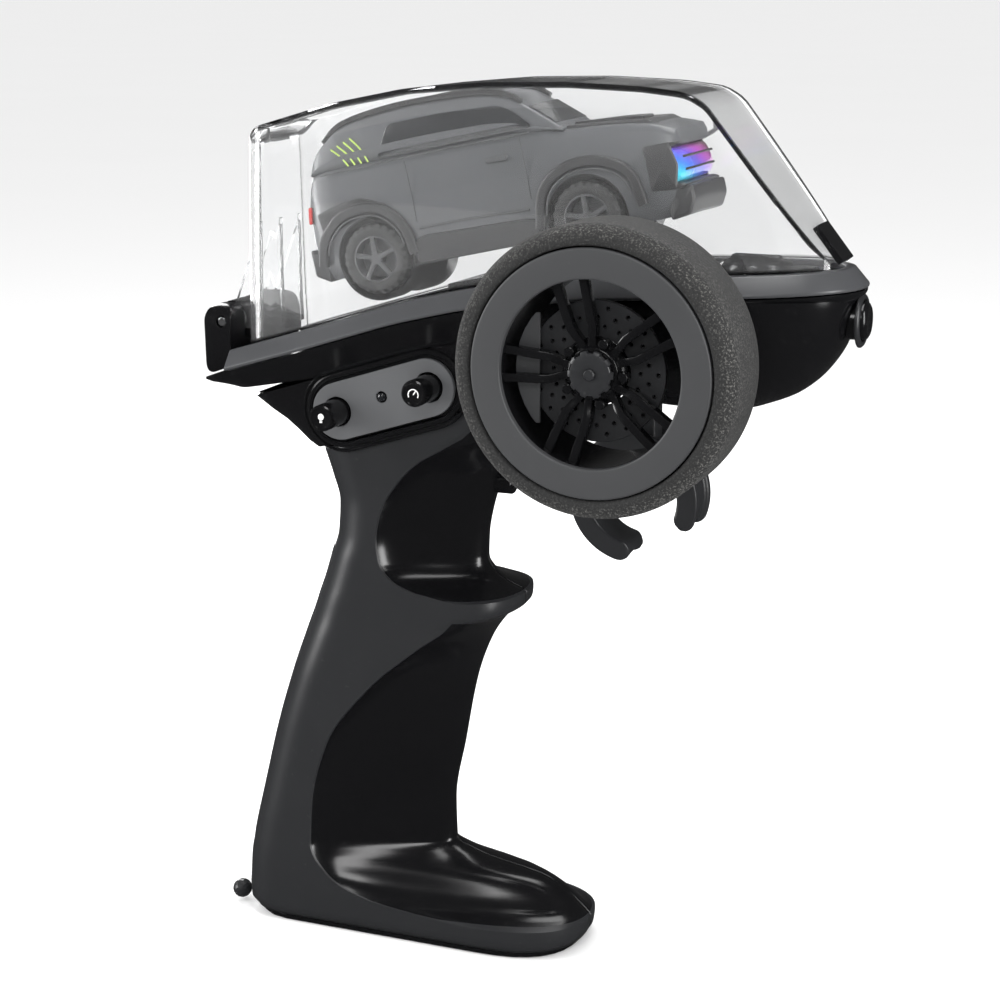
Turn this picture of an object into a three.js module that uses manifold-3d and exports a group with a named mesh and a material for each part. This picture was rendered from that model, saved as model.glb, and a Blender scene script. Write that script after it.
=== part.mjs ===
// Pistol-grip radio transmitter with a foam steering wheel, a finger trigger and a clear display
// dome that holds a small model car. Millimetres, +Z up, +X forwards, steering wheel on -Y.
// Origin: the middle of the foot's flat underside.
import * as THREE from "three";
import { mergeVertices } from "three/addons/utils/BufferGeometryUtils.js";
import Module from "manifold-3d";

const wasm = await Module();
wasm.setup();

// ---- fits and walls ----
const fitGap = 0.3; // left between pieces that meet
const runGap = 0.4; // round shafts, pins and buttons that move
const shellWall = 1.8; // moulded housings
const domeWall = 1.5; // clear dome

// ---- head: hull, band, neck and front bowl ----
const headHalfWidth = 21; // at the widest line, under the band
const headNoseX = 97.2;
const headTailX = -47.2;
const headTaperX = 50; // the plan narrows towards the nose from here
const bandTailX = -40.2;
const bandHeight = 4.2;
const bandInset = 3; // how far the band's top edge leans in
const bandSeat = 2.2; // flat top that the dome rests on
const hullDepth = 11.2; // from the band's top to the hull's lower edge
const hullTuck = 4.2; // how far the hull's lower edge is drawn in
const hullTailCut = 2.8; // how far its tail is cut back beyond that
const deckDrop = 1.2; // deck surface below the band's top
const deckThickness = 1.6;
const noseTopZ = 158;
const sheerLine = [
  // x, height of the band's top edge
  [-50, 132.0],
  [-22.7, 140.2],
  [1.2, 147.9],
  [17.3, 151.8],
  [45, 155.2],
  [75, 156.9],
  [98, noseTopZ],
];
const bowlLeastHalf = 1.5;
const bowlLevels = [
  // height, rear x, front x, how far each side is drawn in from the head's widest line
  [155, 27, 95.8, 1.3],
  [149, 29, 95.0, 1.8],
  [142.5, 32, 93.4, 3.2],
  [136.5, 36, 89.8, 5.8],
  [131.8, 41, 84.6, 9.2],
  [128.9, 47, 78.2, 13],
  [127.3, 53, 72.5, 16.6],
];

// ---- neck, in a frame tilted with the head; u runs forwards, v runs up ----
const neckTilt = THREE.MathUtils.degToRad(17.7);
const neckFoot = { x: -22, z: 113.2 };
const neckHalfWidth = headHalfWidth - hullTuck - 0.3;
const neckFrontU = 51.5;
const neckLevels = [
  // v, rear u
  [0.3, 0],
  [2.2, -1.7],
  [5, -3.4],
  [8.2, -5.6],
  [11, -8.2],
  [15, -11.4],
];

// ---- grip ----
const gripRearRound = 10;
const gripSections = [
  // z, rear x, crease x, nose x, half width, sweep forward, sweep inward, nose half width
  [1.5, -42.2, 18, 37.8, 16.0, 13, 0, 11],
  [3.2, -43.4, 18, 38.8, 16.6, 13, 0, 11],
  [6.4, -43.6, 15, 39.2, 16.6, 15, 0.2, 11.5],
  [7.4, -43.5, 2, 38.4, 16.6, 19, 2, 12],
  [8.7, -43.4, -9, 37, 16.6, 15, 4.4, 12],
  [12, -43.2, -18, 33, 16.6, 9, 6.8, 11.5],
  [14.7, -42.9, -21, 27, 16.6, 7, 7.5, 10.5],
  [17.2, -42.4, -22.9, 13.5, 16.6, 6, 8, 9],
  [20.7, -41.8, -24, 6, 16.5, 5, 8.5, 7.5],
  [30, -39.6, -23.6, 5.8, 16.3, 5, 8.8, 6.8],
  [45, -35.9, -19.7, 8.4, 16, 5, 8.6, 6.8],
  [60, -31.2, -8.5, 11.2, 16, 5, 7, 7],
  [70, -27.5, 3, 14.6, 15.8, 3.5, 4.5, 8],
  [76, -25.2, 10.5, 18.7, 15.6, 4, 2, 9],
  [78.9, -24.2, 12, 22.8, 15.6, 7, 0.3, 9.5],
  [81.8, -23.1, 11, 23.2, 15.6, 7.5, 0.2, 9.5],
  [83.2, -22.6, 2.5, 20, 15.6, 9, 4, 9],
  [85.4, -21.9, -3, 16.2, 15.6, 6, 7, 7.5],
  [89, -20.8, -5.8, 14.0, 15.6, 5, 8.2, 6.5],
  [94.5, -19.1, -6.6, 14.2, 15.6, 5, 8.4, 6.5],
  [101.5, -18.7, -5.1, 15.5, 15.6, 5, 8, 6.8],
  [107.4, -20.2, -1.4, 17.5, 15.7, 5, 7, 7.5],
  [112.3, -21.8, 3.4, 20.5, 15.9, 5, 5, 9],
  [115.7, -23, 9.4, 23.5, 16, 5, 3, 10],
  [120, -24.5, 16, 27, 16, 6, 1.5, 10.5],
  [128, -26, 20, 30, 16, 7, 0.5, 11],
];
const basePlateThickness = 1.2;
const basePlateInset = 0.5;
const doorHalfWidth = 8.6;
const doorLowZ = 20;
const doorHighZ = 91;
const doorThickness = 2;

// ---- batteries: three slim cells along the sloping rear of the grip ----
const cellRadius = 5.1;
const cellLength = 44.5;
const cellLean = THREE.MathUtils.degToRad(17);
const cellMiddle = { x: -18.2, z: 55.5 };

// ---- steering ----
const wheelAxis = { x: 53.6, z: 140.5 };
const wheelOffset = 25; // from the hull's side to the wheel's face
const wheelFaceY = -(headHalfWidth + wheelOffset);
const tyreRadius = 29;
const tyreWidth = 21.5;
const rimRadius = 24.6;
const rimOpening = 18.5;
const rimBarrelWall = 1.2;
const rimSeatWall = 1.3;
const rimFaceDepth = 3;
const spokeDepth = 2.4;
const hubRadius = 5.6;
const discRadius = 14;
const shaftRadius = 2.5;
const bushWall = 2;

// ---- trigger ----
const triggerPivot = { x: 50, z: 135.5 };
const triggerLoop = { x: 49.4, z: 106.6 };
const triggerInner = 9.6;
const triggerOuter = 14.6;
const triggerWidth = 11;
const pivotRadius = 1.5;

// ---- controls ----
const panelCentre = { u: 21.9, v: 7 };
const panelLength = 34.5;
const panelHeight = 12.6;
const panelThickness = 1.1;
const knobSpacing = 22.8;
const knobRadius = 2.9;
const knobReach = 8;
const buttonTravel = 1.5;
const ledRadius = 0.95;
const sliderTravel = 3;
const latchRadius = 4;

// ---- dome ----
const domeHeight = 40; // clear height of the roof above the front of the band
const domeTailX = -36.8;
const domeLean = 3; // how far each side leans in from base to roof
const hingePin = { x: -43, z: 140.8 };
const pinRadius = 1;
const knuckleRadius = 2.3;
const ribWidth = 1.6;
const ribSpacing = 9;
const tailHalfWidth = 16.5;
const tailRound = 4.5;
const tailRearWall = 0.9;

// ---- docked model car, in a frame on its rear axle; p runs forwards, q runs up ----
const carRear = { x: -6.6, z: 156.1 };
const carTilt = THREE.MathUtils.degToRad(12.6);
const wheelbase = 49.1;
const carHalfWidth = 12.4;
const carWheelRadius = 7.6;
const carWheelWidth = 4.6;

// ---- finishes ----
const glossBlack = { color: 0x0b0b0d, roughness: 0.22, metalness: 0 };
const satinGrey = { color: 0x3a3c40, roughness: 0.42, metalness: 0 };
const panelGrey = { color: 0x55575b, roughness: 0.5, metalness: 0 };
const foamGrey = { color: 0x2a2a2b, roughness: 0.95, metalness: 0 };
const clearPlastic = { color: 0xeef2f5, roughness: 0.05, metalness: 0, transparent: true, opacity: 0.3 };
const springSteel = { color: 0xb9bcc0, roughness: 0.3, metalness: 1 };
const brass = { color: 0xc9a24a, roughness: 0.3, metalness: 1 };
const boardGreen = { color: 0x1f5a36, roughness: 0.6, metalness: 0 };
const cellBlue = { color: 0x30506f, roughness: 0.4, metalness: 0.1 };
const carGrey = { color: 0x75777a, roughness: 0.45, metalness: 0.1 };
const lampTint = { color: 0x5a3fd0, roughness: 0.1, metalness: 0.4 };
const ledWhite = { color: 0xd8dadc, roughness: 0.3, metalness: 0 };

// ---- helpers ----
const model = new THREE.Group();
const across = new THREE.Vector3(0, 1, 0);

function solidOf(geometry) {
  const bare = geometry.clone();
  bare.deleteAttribute("normal");
  bare.deleteAttribute("uv");
  const merged = mergeVertices(bare, 1e-4);
  const index = merged.index.array;
  const kept = [];
  for (let i = 0; i < index.length; i += 3) {
    const [a, b, c] = [index[i], index[i + 1], index[i + 2]];
    if (a !== b && b !== c && c !== a) kept.push(a, b, c);
  }
  const build = (triVerts) => {
    const vertProperties = merged.attributes.position.array;
    return new wasm.Manifold(new wasm.Mesh({ numProp: 3, vertProperties, triVerts }));
  };
  const made = build(new Uint32Array(kept));
  if (made.volume() > 0) return made;
  for (let i = 0; i < kept.length; i += 3) {
    [kept[i + 1], kept[i + 2]] = [kept[i + 2], kept[i + 1]];
  }
  return build(new Uint32Array(kept));
}

function geometryOf(solid) {
  const mesh = solid.getMesh();
  const geometry = new THREE.BufferGeometry();
  geometry.setAttribute("position", new THREE.BufferAttribute(new Float32Array(mesh.vertProperties), 3));
  geometry.setIndex(new THREE.BufferAttribute(new Uint32Array(mesh.triVerts), 1));
  geometry.computeVertexNormals();
  return geometry;
}

function addNode(name, solid, finish) {
  const mesh = new THREE.Mesh(geometryOf(solid), new THREE.MeshStandardMaterial(finish));
  mesh.name = name;
  model.add(mesh);
}

// Smooth monotone curve through rows of [key, value, ...]; returns every column at one key.
function curveThrough(rows) {
  const slopes = rows.map((row, i) => {
    if (i === 0 || i === rows.length - 1) return row.slice(1).map(() => 0);
    return row.slice(1).map((value, c) => {
      const before = (value - rows[i - 1][c + 1]) / (row[0] - rows[i - 1][0]);
      const after = (rows[i + 1][c + 1] - value) / (rows[i + 1][0] - row[0]);
      if (before * after <= 0) return 0;
      return (2 * before * after) / (before + after);
    });
  });
  return (key) => {
    const last = rows.length - 2;
    let i = 0;
    while (i < last && key > rows[i + 1][0]) i += 1;
    const span = rows[i + 1][0] - rows[i][0];
    const t = Math.min(1, Math.max(0, (key - rows[i][0]) / span));
    const [t2, t3] = [t * t, t * t * t];
    return rows[i].slice(1).map((value, c) => {
      const held = value * (2 * t3 - 3 * t2 + 1) + rows[i + 1][c + 1] * (3 * t2 - 2 * t3);
      return held + span * (slopes[i][c] * (t3 - 2 * t2 + t) + slopes[i + 1][c] * (t3 - t2));
    });
  };
}

const sheer = curveThrough(sheerLine);
const sheerZ = (x) => sheer(x)[0];

// Closed solid through rings of equal count. Each ring is symmetric about Y = 0: it starts at the
// rear middle, runs forwards along -Y and comes back along +Y. Its ends close like a ladder.
function loft(rings) {
  const count = rings[0].length;
  const positions = new Float32Array(rings.flat(2));
  const triangles = [];
  const quad = (a, b, c, d) => triangles.push(a, b, c, a, c, d);
  for (let k = 0; k < rings.length - 1; k += 1) {
    for (let i = 0; i < count; i += 1) {
      const j = (i + 1) % count;
      const [low, high] = [k * count, (k + 1) * count];
      quad(low + i, low + j, high + j, high + i);
    }
  }
  const top = (rings.length - 1) * count;
  for (let i = 0; i < count / 2; i += 1) {
    const [a, b] = [i, i + 1];
    const [c, d] = [(count - i - 1) % count, (count - i) % count];
    quad(a, d, c, b);
    quad(top + a, top + b, top + c, top + d);
  }
  const geometry = new THREE.BufferGeometry();
  geometry.setAttribute("position", new THREE.BufferAttribute(positions, 3));
  geometry.setIndex(triangles);
  return solidOf(geometry);
}

// Mirrors the right half of a ring, which starts and ends on Y = 0.
function closeRing(half) {
  const left = half.slice(1, -1).reverse();
  return [...half, ...left.map(([x, y, z]) => [x, -y, z])];
}

function extrudeY(points, y0, y1) {
  const shape = new THREE.Shape(points.map(([x, z]) => new THREE.Vector2(x, z)));
  return extrudeShapeY(shape, y0, y1, 12);
}

function extrudeShapeY(shape, y0, y1, curveSegments) {
  const geometry = new THREE.ExtrudeGeometry(shape, { depth: y1 - y0, bevelEnabled: false, curveSegments });
  geometry.rotateX(Math.PI / 2);
  geometry.translate(0, y1, 0);
  return solidOf(geometry);
}

function extrudeZ(points, z0, z1) {
  const shape = new THREE.Shape(points.map(([x, y]) => new THREE.Vector2(x, y)));
  const geometry = new THREE.ExtrudeGeometry(shape, { depth: z1 - z0, bevelEnabled: false });
  geometry.translate(0, 0, z0);
  return solidOf(geometry);
}

function block(x0, x1, y0, y1, z0, z1) {
  const geometry = new THREE.BoxGeometry(x1 - x0, y1 - y0, z1 - z0);
  geometry.translate((x0 + x1) / 2, (y0 + y1) / 2, (z0 + z1) / 2);
  return solidOf(geometry);
}

// Solid of revolution about a line along Y through (x, z); profile rows are [radius, y].
function turned(profile, x, z, segments = 28) {
  const geometry = new THREE.LatheGeometry(profile.map(([r, y]) => new THREE.Vector2(r, y)), segments);
  geometry.translate(x, 0, z);
  return solidOf(geometry);
}

function rodY(radius, x, z, y0, y1, segments = 20) {
  return turned([[0, y0], [radius, y0], [radius, y1], [0, y1]], x, z, segments);
}

function ringY(outer, inner, x, z, y0, y1, segments = 32) {
  return turned([[inner, y0], [outer, y0], [outer, y1], [inner, y1], [inner, y0]], x, z, segments);
}

// Rod of a given length along any direction, centred on a point.
function rodAlong(radius, length, centre, direction, segments = 18) {
  const geometry = new THREE.CylinderGeometry(radius, radius, length, segments);
  const turn = new THREE.Quaternion().setFromUnitVectors(across, direction.clone().normalize());
  geometry.applyQuaternion(turn);
  geometry.translate(centre.x, centre.y, centre.z);
  return solidOf(geometry);
}

function moved(solid, matrix) {
  const geometry = geometryOf(solid);
  geometry.applyMatrix4(matrix);
  return solidOf(geometry);
}

function join(...solids) {
  return solids.reduce((whole, next) => whole.add(next));
}

function cut(solid, ...tools) {
  return tools.reduce((rest, tool) => rest.subtract(tool), solid);
}

function stadium(length, height) {
  const shape = new THREE.Shape();
  const radius = height / 2;
  const reach = length / 2 - radius;
  shape.absarc(reach, 0, radius, -Math.PI / 2, Math.PI / 2);
  shape.absarc(-reach, 0, radius, Math.PI / 2, (3 * Math.PI) / 2);
  return shape;
}

// ---- grip ----
const gripAt = curveThrough(gripSections);

function gripRing(z, values) {
  const [rear, crease, nose, half, forward, inward, noseHalf] = values;
  const round = Math.min(gripRearRound, half - 2);
  const points = [[rear, 0, z]];
  for (let i = 0; i <= 4; i += 1) {
    const angle = (i / 4) * (Math.PI / 2);
    points.push([rear + round * (1 - Math.cos(angle)), -(half - round) - round * Math.sin(angle), z]);
  }
  const sweep = new THREE.CubicBezierCurve(
    new THREE.Vector2(crease, -half),
    new THREE.Vector2(crease + forward, -half + inward),
    new THREE.Vector2(nose, -noseHalf),
    new THREE.Vector2(nose, 0),
  );
  const steps = 8;
  for (let i = 0; i <= steps; i += 1) {
    const at = sweep.getPoint(i / steps);
    points.push([at.x, i === steps ? 0 : at.y, z]);
  }
  return closeRing(points);
}

// The inside follows the narrowest section found within one wall above or below.
function gripInside(z) {
  const near = [-shellWall, 0, shellWall].map((step) => gripAt(z + step));
  const least = (c) => Math.min(...near.map((row) => row[c]));
  const [rear, , , half, forward, inward, noseHalf] = gripAt(z);
  const deep = Math.max(...near.map((row) => row[5]));
  const crease = least(1) - shellWall * 0.6;
  const sweep = Math.min(forward, least(2) - crease);
  return [
    Math.max(rear, near[0][0], near[2][0]) + shellWall,
    Math.max(crease, rear + shellWall + gripRearRound - 1),
    least(2) - shellWall,
    half - shellWall,
    sweep,
    Math.max(inward, deep),
    Math.min(noseHalf, least(6)) - shellWall,
  ];
}

const gripLevels = gripSections.map((row) => row[0]);
const gripOuter = loft(gripLevels.map((z) => gripRing(z, gripAt(z))));
const insideLevels = [0.5, 5.5, 7, 10, 14, 17, 22, 40, 60, 72, 78, 83, 88, 100, 110, 118, 130];
const gripInner = loft(insideLevels.map((z) => gripRing(z, gripInside(Math.max(z, gripLevels[0])))));

const neckFrame = new THREE.Matrix4()
  .makeRotationY(-neckTilt)
  .setPosition(neckFoot.x, 0, neckFoot.z);
const fromNeck = (u, v, y = 0) => new THREE.Vector3(u, y, v).applyMatrix4(neckFrame);
const aboveSeam = moved(block(-60, 90, -40, 40, 0, 90), neckFrame);

const doorRear = (z, offset) => gripAt(z)[0] + offset;
const doorSteps = [0, 0.25, 0.5, 0.75, 1].map((t) => doorLowZ + t * (doorHighZ - doorLowZ));
function doorBand(margin, depth) {
  const low = (z) => (z === doorLowZ ? z - margin : z);
  const level = (z) => (z === doorHighZ ? z + margin : low(z));
  const outside = doorSteps.map((z) => [doorRear(z, -6), level(z)]);
  const inside = doorSteps.map((z) => [doorRear(z, depth), level(z)]).reverse();
  return extrudeY([...outside, ...inside], -doorHalfWidth - margin, doorHalfWidth + margin);
}

const gripHollow = cut(gripOuter, gripInner, aboveSeam, doorBand(fitGap, 5));
const auxSpot = { x: 18.6, z: 106.2 };
const auxRadius = 2.4;
const auxReach = 3.2;
const forwards = new THREE.Vector3(1, 0, 0);
const auxCentre = new THREE.Vector3(auxSpot.x, 0, auxSpot.z);
const auxHole = rodAlong(auxRadius + runGap, 14, auxCentre, forwards);
const screwHeadRadius = 2.4;
const screwShankRadius = 1.1;
const screwSink = 3;
const gripSide = (z) => gripAt(z)[3];
const rightHalf = block(-80, 130, -60, -fitGap / 2, -10, 230);
const leftHalf = block(-80, 130, fitGap / 2, 60, -10, 230);
const lowerScrewPlace = { x: -30, z: 14 };
const upperScrewPlace = { x: 0, z: 80 };

let gripBody = cut(gripHollow, auxHole);
const lugRadius = 2.3;
const lugSpot = new THREE.Vector3(doorRear(4, -lugRadius - fitGap), -9, lugRadius + 0.4);
const screwPlaces = { grip_screw_lower: lowerScrewPlace, grip_screw_upper: upperScrewPlace };
for (const place of Object.values(screwPlaces)) {
  const side = gripSide(place.z);
  const bossEnd = side - shellWall;
  gripBody = join(gripBody, rodY(3.2, place.x, place.z, fitGap, bossEnd + 0.5, 14));
  gripBody = cut(gripBody, rodY(screwHeadRadius + fitGap, place.x, place.z, side - screwSink, side + 5, 16));
  gripBody = cut(gripBody, rodY(screwShankRadius + fitGap, place.x, place.z, 2, side, 12));
}
addNode("grip_right_shell", gripBody.intersect(rightHalf), satinGrey);
addNode("grip_left_shell", gripBody.intersect(leftHalf), satinGrey);

const footPlan = gripRing(0, gripAt(gripLevels[0])).map(([x, y]) => [x, y]);
const footShrink = basePlateInset / gripSections[0][4];
const footPlate = footPlan.map(([x, y]) => [x * (1 - footShrink), y * (1 - footShrink)]);
addNode("foot_base_plate", extrudeZ(footPlate, 0, basePlateThickness), glossBlack);

const lugBall = new THREE.SphereGeometry(lugRadius, 14, 10);
lugBall.translate(lugSpot.x, lugSpot.y, lugSpot.z);
addNode("lanyard_lug", solidOf(lugBall), satinGrey);

const doorSlab = gripOuter.intersect(doorBand(0, doorThickness));
addNode("battery_door", doorSlab, glossBlack);

for (const [name, place] of Object.entries(screwPlaces)) {
  const side = gripSide(place.z);
  const headTop = side - screwSink + 0.3;
  const screw = turned(
    [
      [0, 4],
      [screwShankRadius, 4.6],
      [screwShankRadius, headTop],
      [screwHeadRadius, headTop],
      [screwHeadRadius, headTop + 1.4],
      [0, headTop + 1.8],
    ],
    place.x,
    place.z,
    12,
  );
  addNode(name, screw, springSteel);
}

// ---- batteries and contacts ----
const cellLine = new THREE.Vector3(Math.sin(cellLean), 0, Math.cos(cellLean));
const cellDeep = new THREE.Vector3(Math.cos(cellLean), 0, -Math.sin(cellLean));
const cellSpots = [
  { name: "battery_cell_right", y: -(cellRadius + 0.3), deep: -5 },
  { name: "battery_cell_left", y: cellRadius + 0.3, deep: -5 },
  { name: "battery_cell_front", y: 0, deep: 4.4 },
];
const cellCentre = (spot) =>
  new THREE.Vector3(cellMiddle.x, spot.y, cellMiddle.z).addScaledVector(cellDeep, spot.deep);
for (const spot of cellSpots) {
  addNode(spot.name, rodAlong(cellRadius, cellLength, cellCentre(spot), cellLine), cellBlue);
}
const contactThickness = 0.8;
for (const [name, sign] of [["battery_contact_lower", -1], ["battery_contact_upper", 1]]) {
  const reach = sign * (cellLength / 2 + 0.4 + contactThickness / 2);
  const plate = new THREE.BoxGeometry(16, cellRadius * 3.2, contactThickness);
  plate.rotateY(cellLean);
  plate.translate(cellMiddle.x, 0, cellMiddle.z);
  plate.translate(cellLine.x * reach, 0, cellLine.z * reach);
  addNode(name, solidOf(plate), brass);
}

// ---- head housing ----
function planRing(inset, tailX, zAt, noseX = headNoseX) {
  const half = headHalfWidth - inset;
  const [tail, nose] = [tailX + inset, noseX - inset];
  const round = 5;
  const points = [[tail, 0], [tail, -(half - round)]];
  for (let i = 1; i <= 3; i += 1) {
    const angle = (i / 3) * (Math.PI / 2);
    points.push([tail + round * (1 - Math.cos(angle)), -(half - round) - round * Math.sin(angle)]);
  }
  const start = tail + round;
  for (let i = 1; i < 6; i += 1) points.push([start + ((headTaperX - start) * i) / 6, -half]);
  const bow = new THREE.CubicBezierCurve(
    new THREE.Vector2(headTaperX, -half),
    new THREE.Vector2(headTaperX + 32, -half),
    new THREE.Vector2(nose, -half * 0.6),
    new THREE.Vector2(nose, 0),
  );
  const steps = 9;
  for (let i = 0; i <= steps; i += 1) {
    const at = bow.getPoint(i / steps);
    points.push([at.x, i === steps ? 0 : at.y]);
  }
  return closeRing(points.map(([x, y]) => [x, y, zAt(x)]));
}

const below = (depth) => (x) => sheerZ(x) - depth;
// The hull's lower edge rises towards the tail.
const hullEdge = (depth) => (x) => sheerZ(x) - depth + 0.11 * Math.max(0, -20 - x);

function ovalRing([z, rearX, frontX, half]) {
  const points = [];
  const steps = 12;
  const [middle, reach] = [(rearX + frontX) / 2, (frontX - rearX) / 2];
  for (let i = 0; i <= steps; i += 1) {
    const angle = (i / steps) * Math.PI;
    const [c, s] = [Math.cos(angle), Math.sin(angle)];
    const bend = (value) => Math.sign(value) * Math.abs(value) ** 0.82;
    points.push([middle - reach * bend(c), i % steps === 0 ? 0 : -half * bend(s), z]);
  }
  return closeRing(points);
}

function neckRing(v, rearU, inset) {
  const half = neckHalfWidth - inset;
  const [rear, front] = [rearU + inset, neckFrontU - inset];
  const points = [[rear, 0], [rear, -(half - 7)]];
  for (let i = 1; i <= 4; i += 1) {
    const angle = (i / 4) * (Math.PI / 2);
    points.push([rear + 7 * (1 - Math.cos(angle)), -(half - 7) - 7 * Math.sin(angle)]);
  }
  for (let i = 1; i <= 4; i += 1) {
    const angle = (i / 4) * (Math.PI / 2);
    points.push([front - 9 * (1 - Math.sin(angle)), -(half - 9) - 9 * Math.cos(angle)]);
  }
  points.push([front, 0]);
  const world = points.map(([u, y]) => {
    const at = fromNeck(u, v, y);
    return [at.x, y, at.z];
  });
  return closeRing(world);
}

function headForm(inset, lift) {
  const hullRings = [
    planRing(inset, headTailX, below(bandHeight - 3)),
    planRing(inset + 0.2, headTailX, below(bandHeight + 0.6)),
    planRing(inset + 0.9, headTailX + 0.8, below(bandHeight + 1.8)),
    planRing(inset + hullTuck, headTailX + hullTailCut, hullEdge(hullDepth - lift)),
  ].reverse();
  const bowlRings = bowlLevels
    .map(([z, rear, front, tuck]) => {
      const half = Math.max(bowlLeastHalf, headHalfWidth - tuck - inset);
      return [z + lift, rear + inset, front - inset, half];
    })
    .map(ovalRing)
    .reverse();
  const neckRings = neckLevels.map(([v, rear]) => neckRing(v, rear, inset));
  if (lift > 0) neckRings.unshift(neckRing(-6, neckLevels[0][1], inset));
  return join(loft(hullRings), loft(bowlRings), loft(neckRings));
}

const sheerStations = [-60, -45, -35, -25, -12, 0, 10, 20, 32, 45, 60, 75, 90, 110];
function aboveSheer(depth) {
  const edge = sheerStations.map((x) => [x, sheerZ(x) - depth]);
  return extrudeY([...edge, [110, 240], [-60, 240]], -40, 40);
}

const panelMatrix = new THREE.Matrix4().multiplyMatrices(
  neckFrame,
  new THREE.Matrix4().makeTranslation(panelCentre.u, 0, panelCentre.v),
);
const onPanel = (u, v = 0) => fromNeck(panelCentre.u + u, panelCentre.v + v);
const knobSpots = [onPanel(-knobSpacing / 2), onPanel(knobSpacing / 2)];
const ledSpot = onPanel(0, 0.6);
const panelBackY = -(neckHalfWidth + fitGap);
const panelFaceY = panelBackY - panelThickness;
const bushOuter = shaftRadius + runGap + bushWall;
const knobFlange = 1.4;
const shellInsideY = -(neckHalfWidth - shellWall);
const latchSpot = { x: 94.8, z: 147 };
const latchWallX = 94.4;
const slotLength = 16;

let headBody = cut(headForm(0, 0), headForm(shellWall, shellWall), aboveSheer(bandHeight + fitGap));
const flangeRoom = knobRadius + knobFlange + runGap;
for (const spot of knobSpots) {
  const bore = rodY(knobRadius + runGap, spot.x, spot.z, -30, -8, 20);
  headBody = cut(headBody, bore, rodY(flangeRoom, spot.x, spot.z, shellInsideY, -8, 20));
}
headBody = cut(headBody, rodY(ledRadius + fitGap, ledSpot.x, ledSpot.z, -30, -8, 12));
headBody = cut(headBody, rodY(bushOuter + fitGap, wheelAxis.x, wheelAxis.z, -30, -6, 24));
const triggerSlot = block(
  triggerPivot.x - slotLength / 2 - 3,
  triggerPivot.x + slotLength / 2,
  -3.6,
  3.6,
  118,
  triggerPivot.z,
);
headBody = cut(headBody, triggerSlot);
const bezelRadius = latchRadius + 1.6;
const bezelBack = 1.4;
const recessDepth = 8;
const latchCentre = new THREE.Vector3(latchSpot.x, 0, latchSpot.z);
const latchHole = rodAlong(latchRadius + runGap, 12, latchCentre, forwards, 20);
const recessMiddle = latchWallX + bezelBack - fitGap + recessDepth / 2;
const recessCentre = new THREE.Vector3(recessMiddle, 0, latchSpot.z);
const bezelRecess = rodAlong(bezelRadius + fitGap, recessDepth, recessCentre, forwards, 24);
headBody = cut(headBody, latchHole, bezelRecess);
const sliderSlot = moved(
  block(-sliderTravel / 2 - 2.4, sliderTravel / 2 + 2.4, 8, 30, -1.4, 1.4),
  panelMatrix,
);
const sliderRoom = moved(block(-6.6, 6.6, 6, -shellInsideY, -3.4, 3.4), panelMatrix);
headBody = cut(headBody, sliderSlot, sliderRoom);
addNode("head_right_shell", headBody.intersect(rightHalf), glossBlack);
addNode("head_left_shell", headBody.intersect(leftHalf), glossBlack);

// ---- band, deck and tail ----
const bandOuter = loft([
  planRing(0.1, headTailX, below(bandHeight)),
  planRing(0, headTailX, below(bandHeight - 0.5)),
  planRing(bandInset, headTailX, below(0)),
]);
const bandOpening = bandInset + bandSeat;
const bandTail = bandTailX + bandOpening - 1.5;
const bandHole = loft([
  planRing(bandOpening, bandTail - bandOpening, below(bandHeight + 4)),
  planRing(bandOpening, bandTail - bandOpening, below(-4)),
]);
const behindBand = block(-70, bandTailX, -40, 40, 110, 170);
addNode("rim_band", cut(bandOuter, bandHole, behindBand), satinGrey);

const deckInset = bandOpening + fitGap;
const deck = loft([
  planRing(deckInset, bandTail + fitGap - deckInset, below(deckDrop + deckThickness)),
  planRing(deckInset, bandTail + fitGap - deckInset, below(deckDrop)),
]);
const dialSpot = { x: 73.5, z: 0 };
const dialRadius = 7.2;
const dialHoleRadius = 2;
const dialHole = extrudeZ(
  new THREE.Shape().absarc(dialSpot.x, 0, dialHoleRadius + runGap, 0, Math.PI * 2).getPoints(6),
  140,
  170,
);
addNode("deck_tray", cut(deck, dialHole), glossBlack);

const deckTopAt = (x) => sheerZ(x) - deckDrop;
const dialFloor = deckTopAt(dialSpot.x + dialRadius) + fitGap;
const dialHeight = 2;
const dialTop = dialFloor + dialHeight;
const dialProfile = [
  [0, -5],
  [dialHoleRadius, -5],
  [dialHoleRadius, 0],
  [dialRadius, 0],
  [dialRadius, dialHeight],
  [0, dialHeight],
];
const dialTurned = new THREE.LatheGeometry(dialProfile.map(([r, y]) => new THREE.Vector2(r, y)), 24);
dialTurned.rotateX(Math.PI / 2);
dialTurned.translate(dialSpot.x, 0, dialFloor);
const dialBar = block(dialSpot.x - 5.2, dialSpot.x + 5.2, -0.9, 0.9, dialTop - 0.5, dialTop + 1.4);
addNode("deck_lock_dial", join(solidOf(dialTurned), dialBar), glossBlack);

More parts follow.
